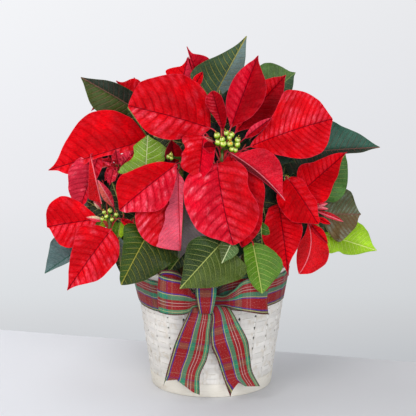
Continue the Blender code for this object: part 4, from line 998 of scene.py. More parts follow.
def computed(tree, operation, first, second=0.0, third=0.0):
    """Result of one sum."""
    return add(tree, "ShaderNodeMath", {"operation": operation}, {0: first, 1: second, 2: third}).outputs[0]


def times(tree, first, *more):
    """Product of all the values."""
    for value in more:
        first = computed(tree, "MULTIPLY", first, value)
    return first


def blended(tree, share, first, second):
    """A share of the second colour over the first."""
    return add(tree, "ShaderNodeMix", {"data_type": "RGBA"}, {0: share, 6: first, 7: second}).outputs[2]


def toned(tree, colour, tone):
    """The colour made darker or lighter."""
    return add(tree, "ShaderNodeVectorMath", {"operation": "SCALE"}, {0: colour, "Scale": tone}).outputs[0]


def layer(tree, name):
    """Node that reads a colour layer of the mesh."""
    return add(tree, "ShaderNodeAttribute", {"attribute_name": name})


def flat_places(tree, name="flat"):
    """Places laid flat on the mesh, one unit to 100 mm, or one to a ribbon's width."""
    return add(tree, "ShaderNodeUVMap", {"uv_map": name}).outputs["UV"]


def axes(tree, place):
    """Outputs X, Y and Z of a place."""
    return add(tree, "ShaderNodeSeparateXYZ", inputs={0: place}).outputs


def joined(tree, along, across):
    """A flat place put together from two values."""
    return add(tree, "ShaderNodeCombineXYZ", None, {0: along, 1: across}).outputs[0]


def noise(tree, place, scale, detail=2.0, flat=True, roughness=0.5):
    """Value of a noise pattern; a pair of scales stretches it across and along the flat place."""
    if isinstance(scale, tuple):
        place = add(tree, "ShaderNodeMapping", None, {"Vector": place, "Scale": (*scale, 1.0)}).outputs[0]
        scale = 1.0
    return add(tree, "ShaderNodeTexNoise", {"noise_dimensions": "2D" if flat else "3D"},
               {"Vector": place, "Scale": scale, "Detail": detail, "Roughness": roughness}).outputs["Fac"]


def coat(tree, surface, colour, height, strength, depth):
    """Lead a colour and a raised pattern, `depth` metres deep, into the surface shader."""
    tree.links.new(colour, surface.inputs["Base Color"])
    bump = add(tree, "ShaderNodeBump", None, {"Height": height, "Strength": strength, "Distance": depth})
    tree.links.new(bump.outputs["Normal"], surface.inputs["Normal"])


def painted_ridge_highlights(tree, base, wavy, across, near, crinkle, bloom, glint):
    """Painted highlight: a pale sheen in patches on the ridges between the veins, with the brightest painted
    glints streaked through it.
    """
    skin, flat = layer(tree, "skin"), flat_places(tree)
    patch = scaled(tree, noise(tree, flat, 5.5, 3.0), 0.0, 1.0, 0.42, 0.62)
    patch = computed(tree, "MULTIPLY_ADD", patch, 0.85, 0.15)
    ridge = scaled(tree, near, 0.18, 1.0, 0.08, 0.38)
    lit = times(tree, patch, ridge, skin.outputs["Alpha"], scaled(tree, crinkle, 0.45, 1.0, 0.35, 0.6))
    base = blended(tree, lit, base, linear(bloom))
    streaks = noise(tree, joined(tree, times(tree, wavy, 1.7), times(tree, across, 9.0)), 1.0, 3.0)
    streaks = times(tree, scaled(tree, streaks, 0.0, 0.6, 0.57, 0.7), skin.outputs["Alpha"], lit)
    return blended(tree, streaks, base, linear(glint))


def veined(tree, base, wander, near, outer, aside, fine, vein_groove_shade, line, width, rib):
    """The vein colour beside the veins, partly as painted shade in their grooves, in the fine net, along the
    side veins and on the midrib.
    """
    vein = layer(tree, "vein")
    marks = vein.outputs["Alpha"]
    patchy = scaled(tree, wander, 0.25, 1.1, 0.35, 0.62)
    fading = times(tree, lessening(tree, outer, 0.92, 1.0, 0.08), patchy, marks)
    # The vein colour spread beside the side veins, partly painted shade in their grooves.
    painted_groove_shade = times(tree, lessening(tree, near, 0.15, vein_groove_shade), fading)
    side_line = times(tree, lessening(tree, near, width, line), lessening(tree, outer, 1.2, 1.0, 0.4), marks)
    for mask in (painted_groove_shade, fine, side_line, lessening(tree, aside, 0.0105, rib, 0.002)):
        base = blended(tree, mask, base, vein.outputs["Color"])
    return base


def skin_material(name, roughness, specular, vein_groove_shade, line, width, rib, rim, rim_highlight_share, network, bloom, glint,
                  tint=None, tint_share=0.0):
    """Skin of a bract or leaf: veins, midrib, a net of small veins, crinkles, a painted highlight on the
    ridges and a thin rim.

    `vein_groove_shade` is how strongly the vein colour spreads beside the veins, partly as painted shade in
    their grooves, and `line`, `width` and `rib` how the lines and the midrib show. `bloom` is the colour of
    the painted sheen on the ridges and `glint` the colour of its brightest painted streaks. `rim` is the
    colour of the thin margin, painted as light caught along the edge.
    """
    material, tree, surface = new_material(name, roughness, Specular_IOR_Level=specular)
    flat = flat_places(tree)
    phase, margin = axes(tree, flat_places(tree, "veins"))[:2]
    across = axes(tree, flat)["X"]
    wander = noise(tree, flat, 7.0)
    wavy = computed(tree, "MULTIPLY_ADD", wander, 0.2, phase)
    near = computed(tree, "PINGPONG", wavy, 0.5)
    aside = computed(tree, "ABSOLUTE", across)
    outer = computed(tree, "DIVIDE", aside, computed(tree, "ADD", aside, margin))
    rungs = joined(tree, times(tree, wavy, 4.0), times(tree, across, 40.0))
    crinkle = noise(tree, rungs, 1.0, 2.5)
    net = add(tree, "ShaderNodeTexVoronoi", {"voronoi_dimensions": "2D", "feature": "DISTANCE_TO_EDGE"},
              {"Vector": rungs, "Scale": 1.0}).outputs["Distance"]
    mottle = scaled(tree, noise(tree, flat, 4.0, 4.0), 0.72, 1.2)
    tone = times(tree, mottle, scaled(tree, crinkle, 0.82, 1.14))
    base = toned(tree, layer(tree, "skin").outputs["Color"], tone)
    if tint:
        base = blended(tree, tint_share, base, linear(tint))
    base = painted_ridge_highlights(tree, base, wavy, across, near, crinkle, bloom, glint)
    fine = lessening(tree, net, 0.14, network)
    base = veined(tree, base, wander, near, outer, aside, fine, vein_groove_shade, line, width, rib)
    # Thin rim along the margin: a painted highlight of light caught by the curled edge.
    base = blended(tree, lessening(tree, margin, 0.008, rim_highlight_share), base, linear(rim))
    relief = computed(tree, "MULTIPLY_ADD", crinkle, 0.9, scaled(tree, near, 0.0, 0.7, 0.0, 0.2))
    relief = computed(tree, "MULTIPLY_ADD", net, 0.35, relief)
    coat(tree, surface, base, relief, 0.7, 0.0008)
    return material


def stalk_material(name, roughness, grain):
    """Skin of stalks, stems and buds: its colour with streaks along its length and fine pimples."""
    material, tree, surface = new_material(name, roughness)
    streak = noise(tree, flat_places(tree), (60.0, 60.0 * grain), 3.0)
    colour = toned(tree, layer(tree, "skin").outputs["Color"], scaled(tree, streak, 0.65, 1.3))
    coat(tree, surface, colour, streak, 0.4, 0.0005)
    return material


def chip_wood_material():
    """Whitewashed poplar chip: thin milky paint over pale wood, with grain, bare beige places and painted
    shade along each chip's edges.
    """
    material, tree, surface = new_material("whitewashed chip wood", 0.62)
    flat = flat_places(tree)
    grain = noise(tree, flat, (5.0, 130.0), 4.0, roughness=0.65)
    tone_drift = lessening(tree, noise(tree, flat, (7.0, 11.0), 4.0), 0.52, 0.5, 0.75)
    base = blended(tree, tone_drift, layer(tree, "skin").outputs["Color"], linear("#CDBFA6"))
    base = blended(tree, scaled(tree, grain, 0.0, 0.3, 0.35, 0.75), base, linear("#C9BDAA"))
    # Painted shade along the chips' edges, where they meet and pass under one another.
    edge = axes(tree, flat_places(tree, "veins"))["Y"]
    base = blended(tree, scaled(tree, edge, 0.0, 0.6, 0.8, 1.0), base, linear("#948A7A"))
    coat(tree, surface, base, grain, 0.5, 0.0005)
    return material


def tartan_material():
    """Woven polyester tartan with a lurex thread: matte cloth, thin bright lines and painted glints of the
    lurex.

    The threads are drawn THREAD_PITCH apart, three times as coarse as real ones, so that the weave shows.
    """
    material, tree, surface = new_material("woven tartan ribbon", 0.5, Specular_IOR_Level=0.25)
    ribbon = flat_places(tree)
    across, along = axes(tree, ribbon)[:2]
    warp = coloured(tree, across, WARP, "CONSTANT")
    weft = coloured(tree, computed(tree, "FRACT", along), WEFT, "CONSTANT")
    twill = times(tree, computed(tree, "ADD", across, along), RIBBON_WIDTH / THREAD_PITCH * TAU)
    twill = computed(tree, "SINE", twill)
    base = blended(tree, scaled(tree, twill, 0.04, 0.38, -1.0, 1.0), warp, weft)
    # Painted glints of the lurex thread: pale flecks blended over the weave.
    painted_lurex_glint = noise(tree, ribbon, (26.0, 60.0))
    base = blended(tree, scaled(tree, painted_lurex_glint, 0.0, 0.16, 0.6, 0.76), base, linear("#E8D8CC"))
    # Painted shade of the deep folds, carried in the skin layer, multiplies the cloth's colour.
    shaded = add(tree, "ShaderNodeVectorMath", {"operation": "MULTIPLY"},
                 {0: base, 1: layer(tree, "skin").outputs["Color"]})
    coat(tree, surface, shaded.outputs[0], twill, 0.3, 0.0003)
    return material


def soil_material():
    """Damp peat mix: nearly black brown crumbs with paler fibres."""
    material, tree, surface = new_material("peat potting mix", 0.9)
    crumb = noise(tree, add(tree, "ShaderNodeTexCoord").outputs["Object"], 420.0, 5.0, False)
    colour = toned(tree, layer(tree, "skin").outputs["Color"], scaled(tree, crumb, 0.4, 1.8))
    coat(tree, surface, colour, crumb, 0.8, 0.0015)
    return material


def pot_material():
    """Thin moulded polypropylene: dark green, satin, with a faint ripple and dust."""
    material, tree, surface = new_material("moulded polypropylene", 0.42, IOR=1.49)
    dust = noise(tree, add(tree, "ShaderNodeTexCoord").outputs["Object"], 60.0, 5.0, False)
    colour = coloured(tree, dust, [(0.35, "#10291A"), (0.6, "#163322"), (0.8, "#3A4A3C")])
    coat(tree, surface, colour, dust, 0.15, 0.001)
    return material


# Upper side of a bract: velvety red, almost without gloss, with a painted pink highlight on its ridges,
# painted shade in the vein grooves and dark veins
BRACT_TOP = skin_material("velvety bract skin", 0.42, 0.03, vein_groove_shade=0.5, line=0.3, width=0.045, rib=0.8,
                          rim="#F0405A", rim_highlight_share=0.4, network=0.1, bloom="#EE4056", glint="#FFA4B0")
# Underside of a bract: duller and pinker, with the same painted highlights on its ridges and rim
BRACT_UNDER = skin_material("bract underside", 0.55, 0.08, vein_groove_shade=0.15, line=0.3, width=0.05, rib=0.6,
                            rim="#E8606E", rim_highlight_share=0.35, network=0.1, bloom="#F07888", glint="#F8A8B0",
                            tint="#C02C40", tint_share=0.3)
# Upper side of a leaf: satin green with pale veins in clear lines and a painted grey sheen on its ridges
LEAF_TOP = skin_material("satin leaf skin", 0.36, 0.12, vein_groove_shade=0.1, line=0.65, width=0.055, rib=0.85,
                         rim="#6A7830", rim_highlight_share=0.3, network=0.16, bloom="#8C9C8C", glint="#A8B4A4")
# Underside of a leaf: matte grey green, with a faint painted sheen on its ridges
LEAF_UNDER = skin_material("leaf underside", 0.6, 0.12, vein_groove_shade=0.1, line=0.45, width=0.05, rib=0.9,
                           rim="#88905A", rim_highlight_share=0.3, network=0.14, bloom="#9AA898", glint="#A8B4A4",
                           tint="#6A7A5A", tint_share=0.5)
# Stalks have long soft streaks, bark is duller, buds are finely pimpled and glands gleam
STALK = stalk_material("leaf stalk skin", 0.45, 0.12)
BARK = stalk_material("stem bark", 0.7, 0.2)
BUD = stalk_material("flower bud skin", 0.38, 0.8)
GLAND = stalk_material("nectar gland", 0.2, 1.0)
CHIP = chip_wood_material()
TARTAN = tartan_material()
PEAT = soil_material()
POT = pot_material()


def stalk_part(start, shape, swing, radii, colours):
    """A stalk that leaves `start`, swings into line with its blade and runs on under it."""
    length, along, _, facing = blade_frame(shape)
    base = shape["base"]
    bend = base - along * (swing * np.linalg.norm(base - start))
    share = np.linspace(0.0, 1.0, 12)[:, None]
    path = start * (1 - share) ** 2 + bend * (2 * share * (1 - share)) + base * share ** 2
    inside = base + along * (0.05 * length) + facing * (shape["arch"] * 0.19 * length - 1.0)
    path = np.concatenate((path, inside[None]))
    thick = radii[0] if widest_half(shape) < SMALL_HALF_WIDTH else radii[1]
    near, far = (SKIN_COLOURS[name] for name in colours)
    share = np.linspace(0.0, 1.0, len(path))[:, None]
    radii = np.linspace(thick, thick * STALK_TAPER, len(path))
    return tube_part(path, radii, 8, 2, near * (1 - share) + far * share)


def bract_stalk_start(hub, shape):
    """Where a bract's stalk grows from, on the side of the hub."""
    way = (shape["base"] - hub) * (1.0, 1.0, 0.0)
    return hub + unit(way) * (HUB_RADIUS - 1.2) - (0.0, 0.0, 3.0)


def make_bracts(bloom, seed):
    """The bracts of a bloom on their stalks, round the head of its stem."""
    hub = HUBS[bloom]
    shapes = list(BRACTS.get(bloom, ()))
    if bloom in REAR_BRACTS:
        place, start, rows = REAR_BRACTS[bloom]
        shapes += [around(place, start, *row, arch=0.1) for row in rows]
    parts = []
    for place, shape in enumerate(shapes):
        parts.append(blade_part(shape, seed + place))
        start = bract_stalk_start(hub, shape)
        parts.append(stalk_part(start, shape, 0.4, BRACT_STALK_RADII, ("crimson", "coral")))
    path = [hub + (0.0, 0.0, height) for height in (-HUB_BELOW, -3.0, 2.0, HUB_ABOVE)]
    parts.append(tube_part(path, (2.7, 3.3, HUB_RADIUS, 2.4), 14, 2, linear("#5C6414")))
    made = stitched("fine_bracts_" + bloom, parts, [BRACT_TOP, BRACT_UNDER, STALK])
    seat(made, "red_bract", "bracts_" + bloom)


def stem_path(bloom):
    """Way of a stem from the bottom of its hole in the mix to just under the hub."""
    x, y = FEET[bloom]
    neck = np.array((x, y, SOIL_TOP + 8.0))
    head = HUBS[bloom] - (0.0, 0.0, HUB_BELOW + SEAT_GAP)
    bend = head - (0.0, 0.0, 16.0)
    path = [np.array((x, y, SOIL_TOP - HOLE_DEPTH + 0.6)), neck]
    for share in (0.25, 0.5, 0.75):
        path.append(neck + (bend - neck) * (share ** 1.5, share ** 1.5, share))
    return path + [bend, head]


def point_on(path, share):
    """Point at a share of the height of a stem, above the mix."""
    climb = path[1:]
    place = share * (len(climb) - 1)
    low = min(int(place), len(climb) - 2)
    return climb[low] + (climb[low + 1] - climb[low]) * (place - low)


def stem_part(path):
    """The woody stem: brown below, green above, with a slight swelling at each joint."""
    way = spline(path, 60)
    share = np.linspace(0.0, 1.0, len(way))
    radii = STEM_FOOT_RADIUS + (STEM_TOP_RADIUS - STEM_FOOT_RADIUS) * share
    radii = radii * (1.0 + 0.08 * np.cos(TAU * share * 7.0) ** 8)
    blend = np.clip((share - 0.3) * 2.2, 0.0, 1.0)[:, None]
    return tube_part(way, radii, 14, 3, linear("#6A5436") * (1.0 - blend) + linear("#6E8A34") * blend)


def make_stem(bloom, seed):
    """A stem with its green leaves on their stalks."""
    path = stem_path(bloom)
    parts = [stem_part(path)]
    rear = [rear_leaf(*row) for row in REAR_LEAVES.get(bloom, ())]
    for place, (share, shape) in enumerate([*LEAVES.get(bloom, ()), *rear, *YOUNG_LEAVES.get(bloom, ())]):
        parts.append(blade_part(shape, seed + place))
        colours = ("lime", "bright") if shape["skin"][0] in ("lime", "bright") else ("salmon", "rose")
        parts.append(stalk_part(point_on(path, share), shape, 0.12, LEAF_STALK_RADII, colours))
    made = stitched("fine_stem_and_leaves_" + bloom, parts, [LEAF_TOP, LEAF_UNDER, STALK, BARK])
    seat(made, "green_leaf", "stem_and_leaves_" + bloom)


def bud_parts(centre, radius, seed, is_open=False):
    """A plump bud with a nectar gland at its side and stamens at its crown, more of them once it is open."""
    chance = np.random.RandomState(seed)
    lean = np.array((chance.uniform(-0.35, 0.35), -0.45 + chance.uniform(-0.2, 0.2), 1.0))
    profile = [(across * radius, up * radius) for across, up, _ in BUD_PROFILE]
    colours = np.array([SKIN_COLOURS[name] for _, _, name in BUD_PROFILE]) * chance.uniform(0.85, 1.15)
    parts = [moved(turned_part(profile, 20, 0, colours, lobes=(5, 0.05)), centre, lean)]
    way = unit(lean)
    side = unit(np.array((chance.uniform(-1.0, 1.0), -1.0, 0.2)))
    size = radius * (0.75 if is_open else 0.5)
    gland = turned_part(np.array(GLAND_PROFILE) * size, 14, 1, linear("#F0B414" if is_open else "#C8C832"))
    parts.append(moved(gland, centre + side * radius * 0.95 + way * radius * 0.25, side + way * 0.5))
    for _ in range(12 if is_open else 2):
        foot = centre + way * radius * 0.8 + chance.uniform(-0.25, 0.25, 3) * radius
        tip = foot + (way + chance.uniform(-0.5, 0.5, 3)) * radius * 0.75
        parts.append(tube_part([foot, (foot + tip) * 0.5, tip], 0.22, 5, 2, linear("#A01418")))
        parts.append(tube_part([tip - way * 0.3, tip + way * 0.3], 0.42, 6, 1, linear("#E6CE4A")))
    return parts


def make_flowers(bloom, seed):
    """Flower buds on short stalks that part just above the hub."""
    hub = HUBS[bloom]
    radius = BUD_RADIUS.get(bloom, USUAL_BUD_RADIUS)
    foot = hub + (0.0, 0.0, HUB_ABOVE + SEAT_GAP)
    fork = hub + FORKS.get(bloom, USUAL_FORK)
    green = SKIN_COLOURS["grass"]
    way = spline([foot, foot + (0.0, 0.0, 1.6), fork], 8)
    parts = [tube_part(way, np.linspace(2.0, 1.5, 8), 12, 2, green)]
    for place, offset in enumerate(BUDS.get(bloom, USUAL_BUDS)):
        chance = np.random.RandomState(seed + 300 + place)
        centre = hub + offset + chance.uniform(-0.45, 0.45, 3) * radius
        parts.append(tube_part([fork, (fork + centre) * 0.5, centre], (0.9, 0.75, 1.1), 8, 2, green))
        size = radius * chance.uniform(0.78, 1.14)
        parts.extend(bud_parts(centre, size, seed + place, place == OPEN_BUD.get(bloom)))
    made = stitched("fine_flowers_" + bloom, parts, [BUD, GLAND, STALK])
    seat(made, "flower_bud", "flowers_" + bloom)


def basket_radius(height):
    """Outer radius of the chip wall at a height."""
    return BASKET_BASE_RADIUS + (BASKET_RIM_RADIUS - BASKET_BASE_RADIUS) * height / BASKET_HEIGHT


def chip_section(width):
    """Outline of a flat chip: across its width, then through its thickness."""
    half, deep = width * 0.5, CHIP_THICKNESS * 0.5
    return np.array(((-half, -deep * 0.6), (-half * 0.9, -deep), (half * 0.9, -deep), (half, -deep * 0.6),
                     (half, deep * 0.5), (half * 0.86, deep), (0.0, deep * 1.12), (-half * 0.86, deep),
                     (-half, deep * 0.5)))


def swept_chip(middle, across, outward, width, shade, ring=False, pinch=None):
    """A flat chip swept along a path: `across` is the way of its width and `outward` faces out of the wall.

    `pinch` takes that much off its lower and upper edge at each place.
    """
    section = chip_section(width)
    count, sides = len(middle), len(section)
    reach = np.repeat(section[None, :, :1], count, axis=0)
    if pinch is not None:
        reach = np.where(reach > 0.0, reach - pinch[:, 1, None, None] * (reach > 1.0),
                         reach + pinch[:, 0, None, None] * (reach < -1.0))
    points = middle[:, None] + across[:, None] * reach + outward[:, None] * section[None, :, 1:]
    along = np.repeat(travelled(middle), sides)
    aside = np.tile(section[:, 0], count)
    # The veins layer holds the distance to the chip's edge, which drives the painted shade along its edges.
    edge = np.stack((along * UV_UNIT, np.abs(aside) / aside.max()), axis=-1)
    return part(points.reshape(-1, 3), [(turned_over(ring_faces(count, sides, ring)), 0)],
                np.stack((along, aside), axis=-1) * UV_UNIT, edge, np.repeat(shade, sides, axis=0))


def weaver_part(row, chance):
    """One weaver round the basket: over one stake and under the next, with a slit beside some of them."""
    turn = np.linspace(0.0, TAU, STAKES * STEPS_PER_STAKE, endpoint=False)
    wobble = 0.22 * np.sin(turn * 3 + chance.uniform(0, TAU))
    wobble = wobble + 0.12 * np.sin(turn * 7 + chance.uniform(0, TAU))
    level = HOOP_HEIGHT + WEAVER_PITCH * (row + 0.5) + wobble
    beat = np.clip(np.cos(turn * STAKES * 0.5 + (0.0 if row % 2 else math.pi)) * 2.4, -1.0, 1.0)
    middle = beside_axis(basket_radius(level) - WALL_MIDDLE + WEAVE_DEPTH * beat, turn, level)
    outward = beside_axis(1.0, turn, -WALL_LEAN)
    upward = beside_axis(WALL_LEAN, turn, 0.99)
    place = turn * STAKES / TAU
    column = np.floor(place + 0.5).astype(int) % STAKES
    shade = linear("#F6F4EF") * chance.uniform(0.86, 1.02, STAKES)[column][:, None]
    slit = np.clip(chance.uniform(-0.8, 3.2, STAKES), 0.0, 3.0)[np.floor(place).astype(int) % STAKES]
    crossing = np.clip(1.0 - np.abs(np.mod(place, 1.0) - 0.5) * 18.0, 0.0, 1.0) * slit
    pinch = np.stack((crossing * (row % 2 == 0), crossing * (row % 2 == 1)), axis=-1)
    piece = swept_chip(middle, upward, outward, WEAVER_PITCH - WEAVER_GAP, shade, True, pinch)
    return shifted(piece, chance.uniform(0, 9, 2))


def stake_part(number, chance):
    """One upright stake, in front of every second weaver."""
    turn = TAU * number / STAKES + chance.uniform(-0.006, 0.006)
    level = np.linspace(3.0, BASKET_HEIGHT - 2.0, 110)
    row = (level - HOOP_HEIGHT) / WEAVER_PITCH
    beat = np.clip(np.cos(math.pi * (row - 0.5)) * 2.2, -1.0, 1.0) * (1.0 if number % 2 else -1.0)
    beat = np.where((row < 0.0) | (row > WEAVERS), -1.0, beat)
    middle = beside_axis(basket_radius(level) - WALL_MIDDLE + WEAVE_DEPTH * beat, turn, level)
    outward = np.tile((math.cos(turn), math.sin(turn), -WALL_LEAN), (len(level), 1))
    across = np.tile((math.sin(turn), -math.cos(turn), 0.0), (len(level), 1))
    width = TAU * basket_radius(60.0) / STAKES - STAKE_GAP
    tones = chance.uniform(0.86, 1.02, WEAVERS + 6)[np.floor(row + 3.0).astype(int)]
    piece = swept_chip(middle, across, outward, width, linear("#F3F0EA") * tones[:, None])
    # Stakes take a little less of the painted shade along their edges.
    return {**shifted(piece, chance.uniform(0, 9, 2)), "veins": piece["veins"] * (1.0, 0.87)}


def hoop_part(bottom, top, colour, seed):
    """A smooth steamed hoop round the wall, with eased edges."""
    inner, outer = -0.3, HOOP_PROUD
    profile = [(inner, bottom), (outer - 0.5, bottom), (outer, bottom + 0.8), (outer, (bottom + top) * 0.5),
               (outer, top - 0.8), (outer - 0.6, top), (inner, top)]
    turned = [(basket_radius(up) + out, up) for out, up in profile]
    piece = turned_part(turned, 180, 0, linear(colour), closed=True)
    return shifted(piece, np.random.RandomState(seed).uniform(0, 5, 2))


def make_basket():
    """The woven basket: weavers, stakes, both hoops, the floor and the rim's lining strip."""
    chance = np.random.RandomState(7)
    parts = [weaver_part(row, chance) for row in range(WEAVERS)]
    parts += [stake_part(number, chance) for number in range(STAKES)]
    parts.append(hoop_part(0.0, HOOP_HEIGHT, "#ECE7DB", 3))
    parts.append(hoop_part(BASKET_HEIGHT - RIM_HOOP_HEIGHT, BASKET_HEIGHT, "#F0EDE4", 4))
    edge = BASKET_BASE_RADIUS + 0.5
    bottom, top = BASKET_FLOOR
    floor = [(0.02, bottom), (edge, bottom), (edge, top), (0.02, top)]
    parts.append(turned_part(floor, 90, 0, linear("#E2DAC8"), closed=True))
    high, low = basket_radius(BASKET_HEIGHT), basket_radius(BASKET_HEIGHT - RIM_HOOP_HEIGHT)
    lining = [(high - 3.0, 154.5), (high - 0.5, 154.8), (low - 0.5, 150.0), (low - 3.0, 150.0)]
    parts.append(turned_part(lining, 120, 0, linear("#E9E4D8"), closed=True))
    seat(stitched("woven_basket", parts, [CHIP]), "chip_wood", "basket")


def pot_radius(height):
    """Outer radius of the nursery pot's wall at a height above its foot."""
    return POT_BASE_RADIUS + (POT_RIM_RADIUS - POT_BASE_RADIUS) * height / POT_HEIGHT


def make_pot():
    """The nursery pot: a tapered wall with a stepped, rolled rim."""
    outer = [(0.02, 0.0), (56.0, 0.0), (58.0, 1.2), (pot_radius(60), 60.0), (pot_radius(117), 117.0),
             (pot_radius(118) + 0.4, 118.3), (pot_radius(119) + 2.4, 118.8), (pot_radius(119) + 3.0, 119.6),
             (82.6, 127.2), (82.0, 128.0), (80.4, 128.0), (79.0, 126.8)]
    inner = [(pot_radius(118) - POT_WALL, 117.5), (pot_radius(60) - POT_WALL, 60.0), (56.4, 2.6),
             (55.0, POT_WALL), (0.02, POT_WALL)]
    profile = np.array(outer + inner) + (0.0, POT_FOOT)
    made = stitched("nursery_pot", [turned_part(profile, 96, 0, np.ones(4), closed=True)], [POT])
    seat(made, "pot_plastic", "grow_pot")


def crumb_part(rim, number, chance):
    """One loose crumb on the mix; every ninth is a white grain of perlite."""
    out = rim * math.sqrt(chance.uniform(0.0, 0.94))
    turn = chance.uniform(0.0, TAU)
    size = chance.uniform(0.8, 2.4)
    pale = number % 9 == 0
    colour = linear("#D8D2C4" if pale else "#33241A") * chance.uniform(0.8, 1.2)
    crumb = [(0.0, -1.0), (0.75, -0.7), (1.0, 0.0), (0.8, 0.6), (0.0, 0.95)]
    profile = np.array(crumb) * (size * (0.6 if pale else 1.0), size * 0.6)
    height = SOIL_TOP + SOIL_CROWN * (1 - (out / rim) ** 2) + 0.4
    return moved(turned_part(profile, 7, 0, colour, lobes=(3, 0.2)), beside_axis(out, turn, height),
                 chance.uniform(-1, 1, 3))


def make_soil():
    """Crumbly top of the potting mix with loose lumps and white perlite grains."""
    chance = np.random.RandomState(11)
    rim = pot_radius(SOIL_TOP - POT_FOOT - SEAT_GAP) - SOIL_INSET
    rings, sides = 40, 150
    share = np.linspace(0.004, 1.0, rings)[:, None]
    angle = TAU * np.arange(sides) / sides
    radius = share * rim
    crown = SOIL_CROWN * (1.0 - share ** 2) - 4.0 * np.clip(share - 0.84, 0, 1) / 0.16
    bumps = chance.uniform(-0.7, 0.7, (rings, sides))
    bumps = bumps + 1.1 * np.sin(radius * 0.31 + 3.0 * np.sin(angle * 5.0))
    points = beside_axis(radius, angle, SOIL_TOP + crown + bumps * 0.8)
    brown = linear("#3A2A1E")
    parts = [part(points.reshape(-1, 3), [(turned_over(ring_faces(rings, sides)), 0)], skin=brown)]
    floor = POT_FOOT + 2.0
    body = [(rim, SOIL_TOP - 3.4), (pot_radius(floor) - SOIL_INSET, floor), (0.02, floor)]
    parts.append(turned_part(body, 60, 0, brown))
    parts += [crumb_part(rim, number, chance) for number in range(LUMPS)]
    seat(stitched("crumbly_potting_mix", parts, [PEAT]), "potting_mix", "potting_mix")


def ribbon_sheet(name, node, points, across, along, shade=1.0):
    """A sheet of ribbon through a grid of points, with its weave along it; `shade` is painted shade that
    darkens deep folds.
    """
    count, width = points.shape[:2]
    flat = np.stack(np.broadcast_arrays(across, along / RIBBON_WIDTH), axis=-1).reshape(-1, 2)
    skin = np.broadcast_to(shade, (count, width)).reshape(-1, 1)
    piece = part(points.reshape(-1, 3), [(grid_faces(count, width), 0)], flat, skin=skin)
    made = stitched(name, [piece], [TARTAN])
    seat(made, "tartan_ribbon", node)


def make_band():
    """The ribbon round the basket: gathered into shallow pleats and drawn together toward the knot."""
    turn = np.linspace(0.0, TAU, 361)[:, None]
    share = np.linspace(0.0, 1.0, RIBBON_COLUMNS)[None, :]
    aside = np.abs(np.degrees(np.arctan2(np.cos(turn), -np.sin(turn)) - KNOT_TURN))
    drawn = np.clip((GATHER_REACH - aside) / (GATHER_REACH - GATHER_END), 0.0, 1.0)
    drawn = drawn * drawn * (3.0 - 2.0 * drawn)
    low = BAND_BOTTOM + BAND_LEAN * np.cos(turn)
    low = low + (KNOT_BOTTOM - low) * drawn
    high = BAND_TOP + 0.8 * BAND_LEAN * np.cos(turn)
    high = high + (KNOT_TOP - high) * drawn
    height = low + (high - low) * share
    pleat = np.zeros_like(height)
    chance = np.random.RandomState(21)
    for place in np.radians(PLEATS):
        width = chance.uniform(0.03, 0.06)
        lean = chance.uniform(-0.12, 0.12)
        away = np.angle(np.exp(1j * (turn - place - lean * (share - 0.5))))
        pleat = pleat + chance.uniform(0.7, 1.7) * np.exp(-(away / width) ** 2) * (0.35 + 0.65 * share)
    pleat = pleat + 4.2 * np.exp(-((turn - math.pi) / 0.3) ** 2) * np.sqrt(share)
    sway = 0.9 * np.sin(turn * 9.0 + 1.0) * share * (1.0 - share) + 0.7 * np.sin(turn * 6.0)
    radius = basket_radius(height) + 0.75 + pleat + 1.3 * drawn * (1.0 + np.sin(TAU * PLEAT_WAVES * share))
    length = TAU * basket_radius(125.0)
    ribbon_sheet("ribbon_round_basket", "ribbon_band", beside_axis(radius, turn, height + sway * 0.6), share,
                 turn / TAU * length)


def make_loop(name, node, rows, first_edge_high, seed):
    """A bow loop: full and smooth outside, drawn into pleats where the knot holds it."""
    way = spline(rows, 121)
    share = np.linspace(0.0, 1.0, RIBBON_COLUMNS)[None, :]
    low, high = way[:, 2:3], way[:, 3:4]
    height = high + (low - high) * share if first_edge_high else low + (high - low) * share
    drawn = 1.0 - np.clip((high - low - 14.0) / 26.0, 0.0, 1.0)
    step = np.gradient(way[:, :2], axis=0)
    outward = unit(np.stack((step[:, 1], -step[:, 0]), axis=-1))
    pleats = drawn * 1.3 * np.sin(TAU * PLEAT_WAVES * share + 0.6) + 0.35 * np.sin(TAU * 1.3 * share + seed)
    pleats = pleats - 0.8 * np.sin(math.pi * share) * (1.0 - drawn)
    x = way[:, :1] + outward[:, :1] * pleats
    y = way[:, 1:2] + outward[:, 1:] * pleats
    travel = travelled(way[:, :2])
    # Painted shade: the back layer is darkened where the knot draws it into pleats and beside the knot, for
    # the shadow inside the loop.
    behind = np.clip((np.linspace(0.0, 1.0, len(way)) - 0.52) / 0.1, 0.0, 1.0)[:, None]
    beside = np.clip(1.0 - np.abs(way[:, :1] - KNOT_ACROSS) / 40.0, 0.0, 1.0)
    shade = (1.0 - drawn * (0.25 + 0.65 * behind)) * (1.0 - 0.9 * behind * np.sqrt(beside))
    points = np.stack((x, y, height), axis=-1)
    along = travel[:, None] + seed * 0.3 * RIBBON_WIDTH
    ribbon_sheet(name, node, points, share, along, shade=shade)


def make_knot():
    """The wrap of ribbon round the middle of the bow, with its far edge folded under."""
    way = spline(KNOT, 61)
    share = np.linspace(0.0, 1.0, 31)[None, :]
    under = np.clip((share - KNOT_FOLD) / 0.02, 0.0, 1.0)
    place = np.where(share < KNOT_FOLD, share / KNOT_FOLD * 2.0 - 1.0,
                     1.0 - (share - KNOT_FOLD) / (1.0 - KNOT_FOLD) * 1.9)
    crease = 0.35 * np.sin(TAU * 2.0 * place) * (1.0 - under)
    outward = unit(way[:, :2] - KNOT_CENTRE)
    lift = 0.35 - 0.55 * under + crease * 0.6
    x = KNOT_ACROSS + way[:, 2:3] * place
    y = way[:, :1] + outward[:, :1] * lift + 0.5 * place ** 2
    z = way[:, 1:2] + outward[:, 1:] * lift
    travel = travelled(way[:, :2])
    points = np.stack((x, y, z), axis=-1)
    along = travel[:, None] + KNOT_START * RIBBON_WIDTH
    ribbon_sheet("ribbon_knot", "bow_knot", points, share, along)


